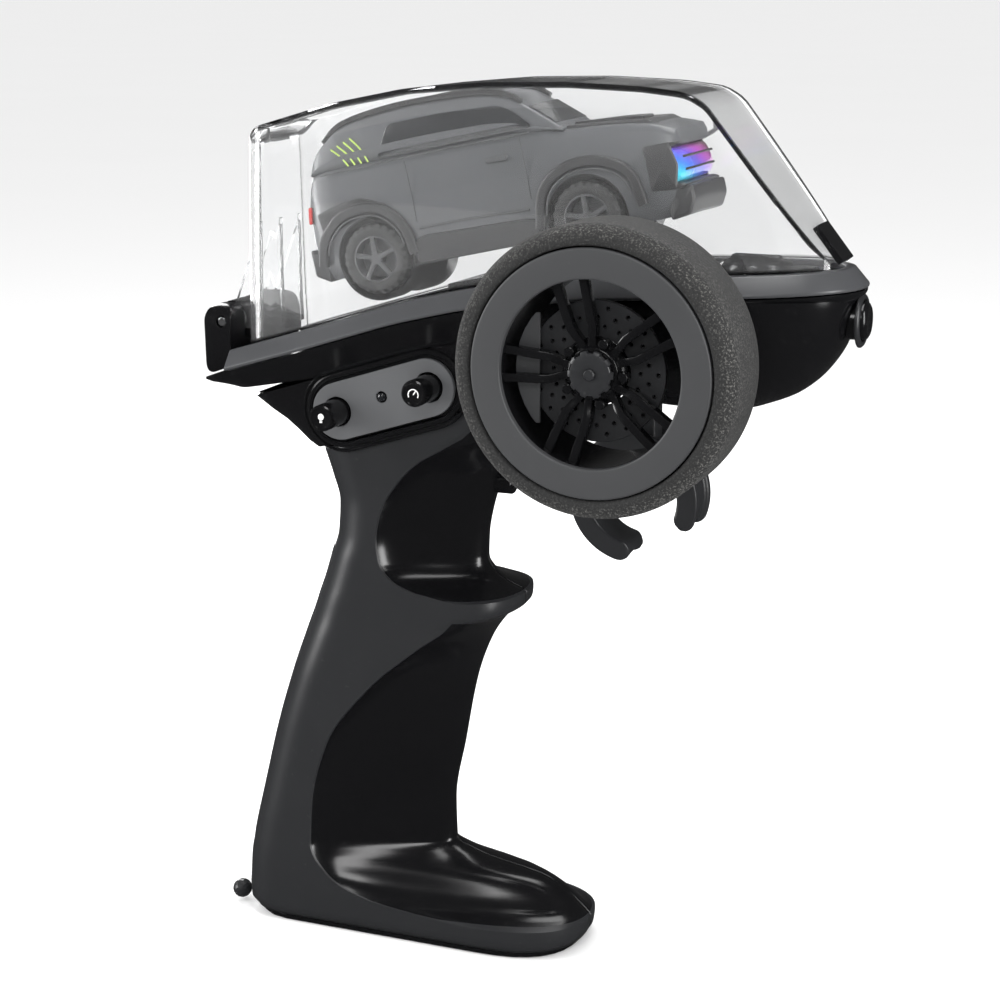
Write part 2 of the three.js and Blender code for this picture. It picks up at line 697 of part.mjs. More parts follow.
const tailFloor = (x) => sheerZ(x) - bandHeight;
const tailFrontX = bandTailX - fitGap;
const tailTopZ = hingePin.z + 3.6;
const tailProfile = new THREE.Shape();
tailProfile.moveTo(headTailX, tailFloor(headTailX));
tailProfile.lineTo(headTailX - 0.4, tailTopZ - 4);
tailProfile.quadraticCurveTo(headTailX - 0.2, tailTopZ, headTailX + 3, tailTopZ);
tailProfile.lineTo(tailFrontX - 1, tailTopZ);
tailProfile.lineTo(tailFrontX, tailTopZ - 1);
tailProfile.lineTo(tailFrontX, tailFloor(tailFrontX));
const tailFace = new THREE.Shape();
const tailRoundY = tailHalfWidth - tailRound;
const tailRoundZ = tailTopZ - tailRound;
tailFace.moveTo(-tailHalfWidth, 120);
tailFace.lineTo(-tailHalfWidth, tailRoundZ);
tailFace.absarc(-tailRoundY, tailRoundZ, tailRound, Math.PI, Math.PI / 2, true);
tailFace.absarc(tailRoundY, tailRoundZ, tailRound, Math.PI / 2, 0, true);
tailFace.lineTo(tailHalfWidth, 120);
const tailOptions = { depth: 40, bevelEnabled: false, curveSegments: 5 };
const tailEnvelope = new THREE.ExtrudeGeometry(tailFace, tailOptions);
tailEnvelope.rotateX(Math.PI / 2);
tailEnvelope.rotateZ(Math.PI / 2);
tailEnvelope.translate(-60, 0, 0);
let tail = extrudeShapeY(tailProfile, -tailHalfWidth, tailHalfWidth, 4).intersect(solidOf(tailEnvelope));
tail = cut(tail, rodY(pinRadius + fitGap, hingePin.x, hingePin.z, -tailHalfWidth - 1, tailHalfWidth - 2, 12));
const ribPlaces = [-ribSpacing, 0, ribSpacing];
for (const y of ribPlaces) {
  const half = ribWidth / 2 + runGap;
  const slotFloor = hingePin.z - knuckleRadius - 1.9;
  const slotRear = headTailX + tailRearWall;
  tail = cut(tail, block(slotRear, tailFrontX + 2, y - half, y + half, slotFloor, tailTopZ + 3));
}
addNode("tail_fairing", tail, glossBlack);
addNode(
  "dome_hinge_pin",
  rodY(pinRadius, hingePin.x, hingePin.z, -tailHalfWidth + 0.4, tailHalfWidth - 2.4, 12),
  springSteel,
);

// ---- dome ----
const domeFoot = (x) => sheerZ(x) + fitGap;
const roofZ = sheerZ(headTaperX) + domeHeight - 1.6;
const screenFootX = headNoseX - bandInset - 2.2; // where the sloping front meets the band
const screenTopBack = 103; // top of the sloping front, measured from the dome's tail
const screenTopDrop = 3.4;
const farBelow = 100;
const farAbove = 230;
const leanFrom = 140;
const domeOutline = (inset) => {
  const tail = domeTailX + inset;
  const top = roofZ - inset;
  return [
    [tail - 0.4, farBelow],
    [tail, top - 13.5],
    [tail + 2.6, top - 10.4],
    [tail + 21, top - 5],
    [tail + 38, top - 1.6],
    [tail + 56, top],
    [tail + 74, top + 0.4],
    [tail + 90, top - 0.2],
    [tail + 99, top - 1.2],
    [tail + screenTopBack - inset * 1.6, top - screenTopDrop],
    [screenFootX - inset * 1.4, noseTopZ - inset * 0.2],
    [screenFootX + 27.2 - inset * 1.4, farBelow],
  ];
};
function domeForm(inset) {
  const side = extrudeY(domeOutline(inset), -40, 40);
  const base = bandInset + inset;
  const flat = () => farBelow;
  const high = () => farAbove;
  const plan = loft([
    planRing(base, domeTailX - bandInset, flat),
    planRing(base, domeTailX - bandInset, high),
  ]);
  const half = headHalfWidth - base;
  const drawnIn = (domeLean / (roofZ - leanFrom)) * (farAbove - leanFrom);
  const front = new THREE.Shape();
  front.moveTo(-half, farBelow);
  front.lineTo(-half, leanFrom);
  front.lineTo(-half + drawnIn, farAbove);
  front.lineTo(half - drawnIn, farAbove);
  front.lineTo(half, leanFrom);
  front.lineTo(half, farBelow);
  const leaning = new THREE.ExtrudeGeometry(front, { depth: 200, bevelEnabled: false });
  leaning.rotateX(Math.PI / 2);
  leaning.rotateZ(Math.PI / 2);
  leaning.translate(-70, 0, 0);
  return side.intersect(plan).intersect(solidOf(leaning));
}

const underFoot = cut(block(-60, 120, -45, 45, 90, 200), aboveSheer(-fitGap));
let domeShell = cut(domeForm(0), domeForm(domeWall), underFoot);
for (const y of ribPlaces) {
  const rib = extrudeY(
    [
      [domeTailX + 0.6, hingePin.z + 22],
      [hingePin.x - 0.4, hingePin.z + knuckleRadius - 0.4],
      [hingePin.x, hingePin.z - knuckleRadius + 0.3],
      [domeTailX + 0.6, hingePin.z - knuckleRadius],
    ],
    y - ribWidth / 2,
    y + ribWidth / 2,
  );
  const knuckle = rodY(knuckleRadius, hingePin.x, hingePin.z, y - ribWidth / 2, y + ribWidth / 2, 16);
  domeShell = join(domeShell, rib, knuckle);
}
domeShell = cut(domeShell, rodY(pinRadius + runGap, hingePin.x, hingePin.z, -30, 30, 12));
addNode("dome_shell", domeShell, clearPlastic);

const screenTop = new THREE.Vector3(domeTailX + screenTopBack, 0, roofZ - screenTopDrop);
const screenFoot = new THREE.Vector3(screenFootX, 0, noseTopZ);
const clipDirection = screenFoot.clone().sub(screenTop).normalize();
const clipOut = new THREE.Vector3(-clipDirection.z, 0, clipDirection.x);
const clipEnd = screenFoot
  .clone()
  .addScaledVector(clipDirection, -0.5)
  .addScaledVector(clipOut, fitGap + 0.7);
const clipLength = 9;
const clipGeometry = new THREE.BoxGeometry(1.4, 9, clipLength);
clipGeometry.applyQuaternion(
  new THREE.Quaternion().setFromUnitVectors(new THREE.Vector3(0, 0, -1), clipDirection),
);
clipGeometry.translate(clipEnd.x, 0, clipEnd.z);
clipGeometry.translate(-clipDirection.x * clipLength / 2, 0, -clipDirection.z * clipLength / 2);
addNode("dome_latch_clip", solidOf(clipGeometry), glossBlack);

// ---- nose latch ----
const turnToX = new THREE.Matrix4().makeRotationZ(-Math.PI / 2);
function turnedX(profile, x, z, segments = 24) {
  const geometry = new THREE.LatheGeometry(profile.map(([r, t]) => new THREE.Vector2(r, t)), segments);
  geometry.applyMatrix4(turnToX);
  geometry.translate(x, 0, z);
  return solidOf(geometry);
}
addNode(
  "latch_bezel",
  turnedX(
    [
      [latchRadius + runGap, bezelBack],
      [bezelRadius, bezelBack],
      [bezelRadius - 0.5, bezelBack + 1],
      [latchRadius + runGap, bezelBack + 1],
      [latchRadius + runGap, bezelBack],
    ],
    latchWallX,
    latchSpot.z,
  ),
  satinGrey,
);
const latchDepth = 5;
const latchSpringFront = -(latchDepth + buttonTravel + fitGap);
const latchSpringBack = latchSpringFront - 3;
addNode(
  "latch_button",
  turnedX(
    [
      [0, -latchDepth],
      [latchRadius, -latchDepth],
      [latchRadius, 2.6],
      [latchRadius - 0.8, 3.4],
      [0, 3.4],
    ],
    latchWallX,
    latchSpot.z,
  ),
  glossBlack,
);
addNode(
  "latch_spring",
  turnedX(
    [
      [2.2, latchSpringBack],
      [3.2, latchSpringBack],
      [3.2, latchSpringFront],
      [2.2, latchSpringFront],
      [2.2, latchSpringBack],
    ],
    latchWallX,
    latchSpot.z,
    16,
  ),
  springSteel,
);

// ---- control panels ----
function panelPlate(side, holes) {
  const shape = stadium(panelLength, panelHeight);
  for (const { u, v, radius } of holes) {
    shape.holes.push(new THREE.Path().absarc(u, v, radius, 0, Math.PI * 2, true));
  }
  const near = neckHalfWidth + fitGap;
  const [y0, y1] = side < 0 ? [-near - panelThickness, -near] : [near, near + panelThickness];
  return moved(extrudeShapeY(shape, y0, y1, 10), panelMatrix);
}
const knobHole = knobRadius + runGap;
addNode(
  "control_panel_right",
  panelPlate(-1, [
    { u: -knobSpacing / 2, v: 0, radius: knobHole },
    { u: knobSpacing / 2, v: 0, radius: knobHole },
    { u: 0, v: 0.6, radius: ledRadius + fitGap },
  ]),
  panelGrey,
);
addNode("control_panel_left", cut(panelPlate(1, []), sliderSlot), panelGrey);

function knobSolid(spot) {
  const face = panelFaceY - knobReach;
  const flangeY = shellInsideY + fitGap;
  return turned(
    [
      [0, face],
      [knobRadius - 0.7, face],
      [knobRadius, face + 0.8],
      [knobRadius, flangeY],
      [knobRadius + knobFlange, flangeY],
      [knobRadius + knobFlange, flangeY + 1],
      [0, flangeY + 1],
    ],
    spot.x,
    spot.z,
    20,
  );
}
addNode("light_button", knobSolid(knobSpots[0]), glossBlack);
addNode("speed_button", knobSolid(knobSpots[1]), glossBlack);
const switchTop = shellInsideY + fitGap + 1 + buttonTravel + 0.5;
const switchNames = ["light_switch_body", "speed_switch_body"];
knobSpots.forEach((spot, i) => {
  const body = block(spot.x - 3, spot.x + 3, switchTop, switchTop + 3.6, spot.z - 3, spot.z + 3);
  addNode(switchNames[i], body, springSteel);
});
const ledBody = rodY(ledRadius, ledSpot.x, ledSpot.z, panelFaceY - 0.4, shellInsideY + 1, 12);
addNode("status_led", ledBody, ledWhite);

const sliderRest = -sliderTravel / 2;
const sliderOuterY = neckHalfWidth + fitGap + panelThickness + 1.6;
const slider = join(
  moved(block(sliderRest - 2, sliderRest + 2, -shellInsideY - 1, sliderOuterY, -1, 1), panelMatrix),
  moved(
    block(sliderRest - 4.6, sliderRest + 4.6, -shellInsideY - 1.6, -shellInsideY - fitGap, -2.4, 2.4),
    panelMatrix,
  ),
);
addNode("power_slider", slider, glossBlack);
addNode(
  "power_switch_body",
  moved(block(-6, 6, neckHalfWidth - shellWall - 6, neckHalfWidth - shellWall - 2, -3, 3), panelMatrix),
  springSteel,
);

const auxInside = auxSpot.x - 8.4;
addNode(
  "aux_button",
  turnedX(
    [
      [0, -6.4],
      [auxRadius + 1, -6.4],
      [auxRadius + 1, -5.4],
      [auxRadius, -5.4],
      [auxRadius, auxReach - 1],
      [auxRadius - 0.8, auxReach - 0.3],
      [0, auxReach - 0.3],
    ],
    auxSpot.x - 1,
    auxSpot.z,
    16,
  ),
  panelGrey,
);
const auxSwitch = block(auxInside - 5, auxInside - 1.2, -3, 3, auxSpot.z - 3, auxSpot.z + 3);
addNode("aux_switch_body", auxSwitch, springSteel);

// ---- electronics ----
const board = new THREE.BoxGeometry(46, 22, 1.4);
board.applyMatrix4(new THREE.Matrix4().makeTranslation(26, 0, 19));
board.applyMatrix4(neckFrame);
addNode("main_circuit_board", solidOf(board), boardGreen);
const antenna = new THREE.BoxGeometry(20, 1, 3.4);
antenna.applyMatrix4(new THREE.Matrix4().makeTranslation(28, 0, 12.5));
antenna.applyMatrix4(neckFrame);
addNode("antenna_strip", solidOf(antenna), brass);

// ---- steering: shaft, bush, spring and pot ----
const bushFrontY = -(headHalfWidth + 1.6);
const bushBackY = -11;
const shaftTipY = wheelFaceY + 7;
const shaftBackY = -7.6;
addNode(
  "steering_bush",
  ringY(bushOuter, shaftRadius + runGap, wheelAxis.x, wheelAxis.z, bushFrontY, bushBackY, 24),
  satinGrey,
);
addNode("steering_shaft", rodY(shaftRadius, wheelAxis.x, wheelAxis.z, shaftTipY, shaftBackY), glossBlack);
addNode("steering_spring", ringY(5, 4, wheelAxis.x, wheelAxis.z, -10.6, -8.6, 18), springSteel);
addNode(
  "steering_potentiometer",
  block(
    wheelAxis.x - 5.5,
    wheelAxis.x + 5.5,
    shaftBackY + 0.5,
    shaftBackY + 4,
    wheelAxis.z - 2.4,
    wheelAxis.z + 9,
  ),
  boardGreen,
);

// ---- steering wheel ----
const tyreBackY = wheelFaceY + tyreWidth;
const tyreProfile = [
  [rimRadius + fitGap, wheelFaceY + 0.4],
  [rimRadius + 1.2, wheelFaceY],
  [tyreRadius - 2.2, wheelFaceY + 0.3],
  [tyreRadius - 0.8, wheelFaceY + 1.6],
  [tyreRadius, wheelFaceY + 4],
  [tyreRadius, tyreBackY - 3],
  [tyreRadius - 1, tyreBackY - 0.8],
  [tyreRadius - 2.8, tyreBackY],
  [rimRadius + fitGap, tyreBackY],
];
addNode(
  "foam_tyre",
  turned([...tyreProfile, tyreProfile[0]], wheelAxis.x, wheelAxis.z, 48),
  foamGrey,
);
const barrelOuter = rimOpening + rimBarrelWall;
const rimProfile = [
  [rimOpening, wheelFaceY + 0.6],
  [rimOpening + 0.6, wheelFaceY],
  [rimRadius - 0.5, wheelFaceY],
  [rimRadius, wheelFaceY + 0.5],
  [rimRadius, tyreBackY],
  [rimRadius - rimSeatWall, tyreBackY],
  [rimRadius - rimSeatWall, wheelFaceY + rimFaceDepth],
  [barrelOuter, wheelFaceY + rimFaceDepth],
  [barrelOuter, tyreBackY - 2],
  [rimOpening + 0.3, tyreBackY - 2],
  [rimOpening, wheelFaceY + rimFaceDepth],
];
const rimRing = turned([...rimProfile, rimProfile[0]], wheelAxis.x, wheelAxis.z, 48);
addNode("wheel_rim", rimRing, panelGrey);

const spokeFaceY = wheelFaceY + 1.6;
const spokeAngles = [177, 105, 33, -39, -111];
const hubBackY = shaftTipY + 9;
let spider = turned(
  [
    [0, spokeFaceY + 0.6],
    [hubRadius, spokeFaceY + 0.6],
    [hubRadius + 0.8, spokeFaceY + 2],
    [hubRadius, hubBackY],
    [0, hubBackY],
  ],
  wheelAxis.x,
  wheelAxis.z,
  24,
);
for (const angle of spokeAngles) {
  for (const side of [-1, 1]) {
    const spoke = new THREE.Shape([
      new THREE.Vector2(hubRadius - 1.5, side * 1.6),
      new THREE.Vector2(rimOpening - fitGap, side * 2.2),
      new THREE.Vector2(rimOpening - fitGap, side * 3.8),
      new THREE.Vector2(hubRadius - 1.5, side * 3.4),
    ]);
    const bar = new THREE.ExtrudeGeometry(spoke, { depth: spokeDepth, bevelEnabled: false });
    bar.rotateX(Math.PI / 2);
    bar.translate(0, spokeFaceY + spokeDepth, 0);
    bar.rotateY(-THREE.MathUtils.degToRad(angle));
    bar.translate(wheelAxis.x, 0, wheelAxis.z);
    spider = join(spider, solidOf(bar));
  }
}
const hubBore = rodY(shaftRadius + fitGap, wheelAxis.x, wheelAxis.z, shaftTipY - fitGap, hubBackY + 1, 20);
spider = cut(spider, hubBore);
const withinRim = rodY(rimOpening - fitGap, wheelAxis.x, wheelAxis.z, wheelFaceY - 5, hubBackY + 5, 40);
addNode("wheel_spokes", spider.intersect(withinRim), glossBlack);

const capFaceY = wheelFaceY + 0.8;
const capProfile = new THREE.Shape();
const capTeeth = 10;
for (let i = 0; i < capTeeth * 2; i += 1) {
  const angle = (i / (capTeeth * 2)) * Math.PI * 2;
  const radius = i % 2 === 0 ? 4.5 : 4;
  const corner = [radius * Math.cos(angle), radius * Math.sin(angle)];
  if (i === 0) capProfile.moveTo(...corner);
  else capProfile.lineTo(...corner);
}
const capGeometry = extrudeShapeY(capProfile, capFaceY, spokeFaceY + 0.3, 4);
addNode(
  "wheel_hub_cap",
  moved(capGeometry, new THREE.Matrix4().makeTranslation(wheelAxis.x, 0, wheelAxis.z)),
  panelGrey,
);

const discFaceY = spokeFaceY + spokeDepth + 1.2;
const discShape = new THREE.Shape().absarc(0, 0, discRadius, 0, Math.PI * 2);
discShape.holes.push(new THREE.Path().absarc(0, 0, hubRadius + 1.2, 0, Math.PI * 2, true));
const drillCount = 10;
const drillRing = 11;
const drillRadius = 0.7;
for (let i = 0; i < drillCount; i += 1) {
  const angle = (i / drillCount) * Math.PI * 2;
  const [holeX, holeZ] = [drillRing * Math.cos(angle), drillRing * Math.sin(angle)];
  const rim = new THREE.Path().absarc(holeX, holeZ, drillRadius, 0, Math.PI * 2, true);
  discShape.holes.push(new THREE.Path(rim.getPoints(3).slice(0, -1)));
}
const atWheel = new THREE.Matrix4().makeTranslation(wheelAxis.x, 0, wheelAxis.z);
const discOptions = { depth: 1, bevelEnabled: false, curveSegments: 20 };
const discGeometry = new THREE.ExtrudeGeometry(discShape, discOptions);
discGeometry.rotateX(Math.PI / 2);
discGeometry.translate(0, discFaceY + 1, 0);
discGeometry.applyMatrix4(atWheel);
addNode("brake_disc", solidOf(discGeometry), panelGrey);
const caliperRing = ringY(16.6, 10, wheelAxis.x, wheelAxis.z, discFaceY - 0.9, discFaceY - fitGap, 40);
const caliperRoom = block(wheelAxis.x - 18, wheelAxis.x - 11.5, -60, 0, wheelAxis.z - 11, wheelAxis.z + 11);
const caliper = caliperRing.intersect(caliperRoom);
addNode("brake_caliper", caliper, panelGrey);

// ---- trigger ----
const triggerHalf = triggerWidth / 2;
const gapAngles = [THREE.MathUtils.degToRad(-93), THREE.MathUtils.degToRad(-30)];
const hook = new THREE.Shape();
hook.absarc(triggerLoop.x, triggerLoop.z, triggerOuter, gapAngles[1], gapAngles[0] + Math.PI * 2);
hook.absarc(triggerLoop.x, triggerLoop.z, triggerInner, gapAngles[0] + Math.PI * 2, gapAngles[1], true);
const hookSolid = extrudeShapeY(hook, -triggerHalf, triggerHalf, 22);
const stemTop = triggerPivot.z;
const loopTop = triggerLoop.z + triggerInner;
const stem = join(
  block(triggerPivot.x - 3.5, triggerPivot.x + 3.5, -2.8, 2.8, loopTop + 1.5, stemTop),
  rodY(3.5, triggerPivot.x, triggerPivot.z, -2.8, 2.8, 18),
);
const triggerSolid = cut(
  join(hookSolid, stem),
  rodY(pivotRadius + runGap, triggerPivot.x, triggerPivot.z, -10, 10, 14),
);
addNode("trigger", triggerSolid, satinGrey);
addNode("trigger_pivot_pin", rodY(pivotRadius, triggerPivot.x, triggerPivot.z, -5.4, 5.4, 14), springSteel);
addNode("trigger_return_spring", ringY(2.8, 2, triggerPivot.x, triggerPivot.z, 3.2, 5.2, 16), springSteel);
addNode(
  "trigger_potentiometer",
  block(triggerPivot.x - 5, triggerPivot.x + 5, 5.8, 8.6, triggerPivot.z + 0.6, triggerPivot.z + 9),
  boardGreen,
);

// ---- docked model car ----
const carFrame = new THREE.Matrix4().makeRotationY(-carTilt).setPosition(carRear.x, 0, carRear.z);
const placeCar = (solid) => moved(solid, carFrame);
const archRadius = carWheelRadius + 1.5;
const archDepth = 6.4;
const carWall = 2;
const [lampRear, lampLow, lampHigh] = [63.5, 4.2, 11.6];
const axlePlaces = [0, wheelbase];
const carSide = new THREE.Shape();
carSide.moveTo(-12, -1.5);
carSide.lineTo(-15.6, 6.8);
carSide.lineTo(-12.6, 20);
carSide.lineTo(47, 19.6);
carSide.lineTo(60, 18);
carSide.lineTo(70, 14.6);
carSide.lineTo(71.4, 3);
carSide.lineTo(67, -3.5);
let carBody = extrudeShapeY(carSide, -carHalfWidth, carHalfWidth, 6);
for (const p of axlePlaces) {
  carBody = cut(carBody, rodY(archRadius, p, 0, -30, -carHalfWidth + archDepth, 20));
  carBody = cut(carBody, rodY(archRadius, p, 0, carHalfWidth - archDepth, 30, 20));
}
const lampPocket = block(lampRear, 80, -carHalfWidth - 1, carHalfWidth + 1, lampLow, lampHigh);
carBody = cut(carBody, lampPocket);
const chassisPocket = block(-30, 90, -carHalfWidth + archDepth, carHalfWidth - archDepth, -10, 2.2);
carBody = cut(carBody, chassisPocket);
// The body is a hollow moulding, open below: narrow between the wheels and wide between the axles.
const narrowHalf = carHalfWidth - archDepth - carWall;
const wideHalf = carHalfWidth - carWall;
carBody = cut(
  carBody,
  block(-10, 54, -narrowHalf, narrowHalf, 0, 17),
  block(archRadius + carWall, wheelbase - archRadius - carWall, -wideHalf, wideHalf, 0, 17),
);
addNode("car_body", placeCar(carBody), carGrey);

const cabin = new THREE.Shape();
cabin.moveTo(-12.4, 20 + fitGap);
cabin.lineTo(-10.2, 24);
cabin.lineTo(-4.6, 29.4);
cabin.lineTo(12.7, 30.6);
cabin.lineTo(30, 29.2);
cabin.lineTo(36, 27.4);
cabin.lineTo(46.5, 19.7 + fitGap);
const cabinHalf = carHalfWidth - 1.2;
const cabinRoom = block(-6, 34, -cabinHalf + carWall, cabinHalf - carWall, 19, 26.6);
addNode("car_cabin", placeCar(cut(extrudeShapeY(cabin, -cabinHalf, cabinHalf, 4), cabinRoom)), glossBlack);
const chassisHalf = carHalfWidth - archDepth - fitGap;
addNode("car_chassis", placeCar(block(-11, 66, -chassisHalf, chassisHalf, -2.6, 1.9)), glossBlack);
const lampHalf = carHalfWidth - 0.4;
const lampBar = block(lampRear + fitGap, 71, -lampHalf, lampHalf, lampLow + fitGap, lampHigh - fitGap);
addNode("car_lamp_bar", placeCar(lampBar), lampTint);
for (const [end, p] of [["rear", 0], ["front", wheelbase]]) {
  for (const [side, sign] of [["right", -1], ["left", 1]]) {
    const outerY = sign * (carHalfWidth + 0.6);
    const innerY = sign * (carHalfWidth + 0.6 - carWheelWidth);
    const tread = turned(
      [
        [0, outerY - sign * 0.8],
        [4.6, outerY - sign * 0.6],
        [5.4, outerY],
        [6.8, outerY],
        [carWheelRadius, outerY - sign * 0.8],
        [carWheelRadius, innerY + sign * 0.6],
        [6.8, innerY],
        [0, innerY],
      ],
      p,
      0,
      24,
    );
    addNode(`car_wheel_${end}_${side}`, placeCar(tread), glossBlack);
  }
}

// A ramp on the deck carries the car nose-up on its front wheels.
const carFloorZ = carRear.z - carWheelRadius / Math.cos(carTilt) - runGap;
const rampTop = (x) => carFloorZ + (x - carRear.x) * Math.tan(carTilt);
const rampStations = [10, 20, 30, 40, 50];
const rampUnder = rampStations.map((x) => [x, deckTopAt(x) + fitGap]);
const rampOver = rampStations.map((x) => [x, Math.max(rampTop(x), deckTopAt(x) + 1)]).reverse();
addNode("display_ramp", extrudeY([...rampUnder, ...rampOver], -carHalfWidth, carHalfWidth), glossBlack);

export default model;
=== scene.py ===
import bmesh
import bpy
import numpy as np
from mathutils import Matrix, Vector
from mathutils.geometry import delaunay_2d_cdt


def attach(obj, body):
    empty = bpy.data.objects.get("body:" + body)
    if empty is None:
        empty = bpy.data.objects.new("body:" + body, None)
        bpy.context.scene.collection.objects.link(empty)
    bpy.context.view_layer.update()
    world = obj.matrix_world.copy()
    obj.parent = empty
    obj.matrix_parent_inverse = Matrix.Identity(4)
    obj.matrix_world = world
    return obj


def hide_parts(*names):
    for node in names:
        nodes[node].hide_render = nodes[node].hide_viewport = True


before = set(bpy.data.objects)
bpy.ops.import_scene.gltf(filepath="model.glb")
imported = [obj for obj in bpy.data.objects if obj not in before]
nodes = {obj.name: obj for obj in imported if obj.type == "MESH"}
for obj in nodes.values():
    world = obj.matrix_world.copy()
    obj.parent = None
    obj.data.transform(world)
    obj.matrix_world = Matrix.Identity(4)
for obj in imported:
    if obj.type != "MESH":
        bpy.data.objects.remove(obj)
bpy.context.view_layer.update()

mm = 0.001

# Lengths below are in millimetres and become metres when a mesh is made.


cameraPlace = {"at": (0.1893, -0.4269, 0.2152), "azimuth": 22.0, "height": 13.8, "lens": 76.93}


def makeCamera():
    # stands at its place, turned by the azimuth and tipped down by the height
    data = bpy.data.cameras.new("studioCamera")
    data.lens = cameraPlace["lens"]
    data.sensor_width = 36
    data.clip_start = 0.01
    data.clip_end = 20
    camera = bpy.data.objects.new("studioCamera", data)
    bpy.context.scene.collection.objects.link(camera)
    camera.location = cameraPlace["at"]
    camera.rotation_euler = (np.radians(90 - cameraPlace["height"]), 0, np.radians(cameraPlace["azimuth"]))
    bpy.context.scene.camera = camera


makeCamera()
print("camera placed")


def gridFaces(rows, cols, wrapRows=False, wrapCols=False):
    # four-sided faces between neighbouring rows and columns of a grid
    i, j = np.meshgrid(
        np.arange(rows if wrapRows else rows - 1),
        np.arange(cols if wrapCols else cols - 1),
        indexing="ij",
    )
    nextI, nextJ = (i + 1) % rows, (j + 1) % cols
    corners = [i * cols + j, i * cols + nextJ, nextI * cols + nextJ, nextI * cols + j]
    return np.stack(corners, -1).reshape(-1, 4)


def patch(points, wrapRows=False, wrapCols=False):
    # an open or wrapped sheet over an array of rows x columns x 3
    rows, cols = points.shape[:2]
    return points.reshape(-1, 3), [gridFaces(rows, cols, wrapRows, wrapCols)]


def tube(rings, firstCentre=None, lastCentre=None):
    # closed rings in a row, shut at each end by a fan to its centre
    rows, cols = rings.shape[:2]
    first = rings[0].mean(0) if firstCentre is None else firstCentre
    last = rings[-1].mean(0) if lastCentre is None else lastCentre
    here = np.arange(cols)
    there = np.roll(here, -1)
    lastRow, poles = (rows - 1) * cols, rows * cols
    low = np.stack([there, here, np.full(cols, poles)], 1)
    high = np.stack([here + lastRow, there + lastRow, np.full(cols, poles + 1)], 1)
    points = np.vstack([rings.reshape(-1, 3), first, last])
    return points, [gridFaces(rows, cols, wrapCols=True), low, high]


def joined(parts):
    # one part out of several, each one's faces counted on from the points before it
    points, faces, start = [], [], 0
    for partPoints, partFaces in parts:
        points.append(partPoints)
        faces += [face + start for face in partFaces]
        start += len(partPoints)
    return np.concatenate(points), faces


def mirrored(part):
    # the same part on the other side, y turned round and so each face
    points, faces = part
    return points * (1, -1, 1), [face[:, ::-1] for face in faces]


def facing(part, inside=None):
    # turns the faces outwards: by enclosed volume, or away from an inside point for an open sheet
    points, faces = part
    total = 0.0
    for face in faces:
        corners = points[face]
        for k in range(1, face.shape[1] - 1):
            a, b, c = corners[:, 0], corners[:, k], corners[:, k + 1]
            if inside is None:
                total += np.einsum("ij,ij->", a, np.cross(b, c))
            else:
                total += np.einsum("ij,ij->", np.cross(b - a, c - a), (a + b + c) / 3 - inside)
    return (points, faces) if total > 0 else (points, [face[:, ::-1] for face in faces])


def bezier(t, a, b, c, d):
    # cubic curve through its two end points, pulled by two handles
    t = np.asarray(t)[:, None]
    ends = (1 - t) ** 3 * np.array(a) + t**3 * np.array(d)
    return ends + 3 * (1 - t) ** 2 * t * np.array(b) + 3 * (1 - t) * t * t * np.array(c)


def curveThrough(rows):
    # smooth curve through rows of (key, values), which never swings past its neighbours
    table = np.array(rows, float)
    keys, values = table[:, 0], table[:, 1:]
    steps = np.diff(values, axis=0) / np.diff(keys)[:, None]
    before, after = steps[:-1], steps[1:]
    agree = before * after > 0
    slopes = np.zeros_like(values)
    slopes[1:-1] = np.where(agree, 2 * before * after / np.where(agree, before + after, 1), 0)

    def at(key):  # cubic between the two rows on either side of the key
        key = np.asarray(key, float)
        i = np.clip(np.searchsorted(keys, key, side="right") - 1, 0, len(keys) - 2)
        span = (keys[i + 1] - keys[i])[..., None]
        t = np.clip((key - keys[i])[..., None] / span, 0, 1)
        held = values[i] * (2 * t**3 - 3 * t**2 + 1) + values[i + 1] * (3 * t**2 - 2 * t**3)
        return held + span * (slopes[i] * (t**3 - 2 * t**2 + t) + slopes[i + 1] * (t**3 - t**2))

    return at


def rounded(points, radius, closed=True, steps=4):
    # a polygon with each corner replaced by a short curve that starts and ends a radius away from it
    points = np.array(points, float)
    count = len(points)
    out = []
    for k in range(count):
        here = points[k]
        if not closed and k in (0, count - 1):
            out.append(here[None])
            continue
        before, after = points[k - 1] - here, points[(k + 1) % count] - here
        lengths = np.linalg.norm(before), np.linalg.norm(after)
        reach = min(radius, lengths[0] * 0.45, lengths[1] * 0.45)
        start, end = here + before / lengths[0] * reach, here + after / lengths[1] * reach
        t = np.linspace(0, 1, steps + 1)[:, None]
        out.append((1 - t) ** 2 * start + 2 * t * (1 - t) * here + t * t * end)
    return np.concatenate(out)


def turned(profile, centre, along="y", steps=96):
    # spins a profile of (radius, distance) about an axis through centre; radius 0 makes a pole
    profile = np.array(profile, float)
    angle = np.linspace(0, 2 * np.pi, steps, endpoint=False)
    order = {"y": (0, 2, 1), "x": (1, 2, 0), "z": (0, 1, 2)}[along]

    def place(radius, distance):  # one ring about the axis
        parts = [radius * np.cos(angle), radius * np.sin(angle), distance]
        out = np.zeros((len(angle), 3))
        for axis, values in zip(order, parts):
            out[:, axis] = values
        return out + centre

    closed = np.allclose(profile[0], profile[-1])
    rows = profile[:-1] if closed else profile[profile[:, 0] > 1e-6]
    rings = np.stack([place(radius, distance) for radius, distance in rows])
    if closed:
        return facing(patch(rings, wrapRows=True, wrapCols=True))
    ends = [place(0, profile[0, 1])[0], place(0, profile[-1, 1])[0]]
    return facing(tube(rings, ends[0], ends[1]))


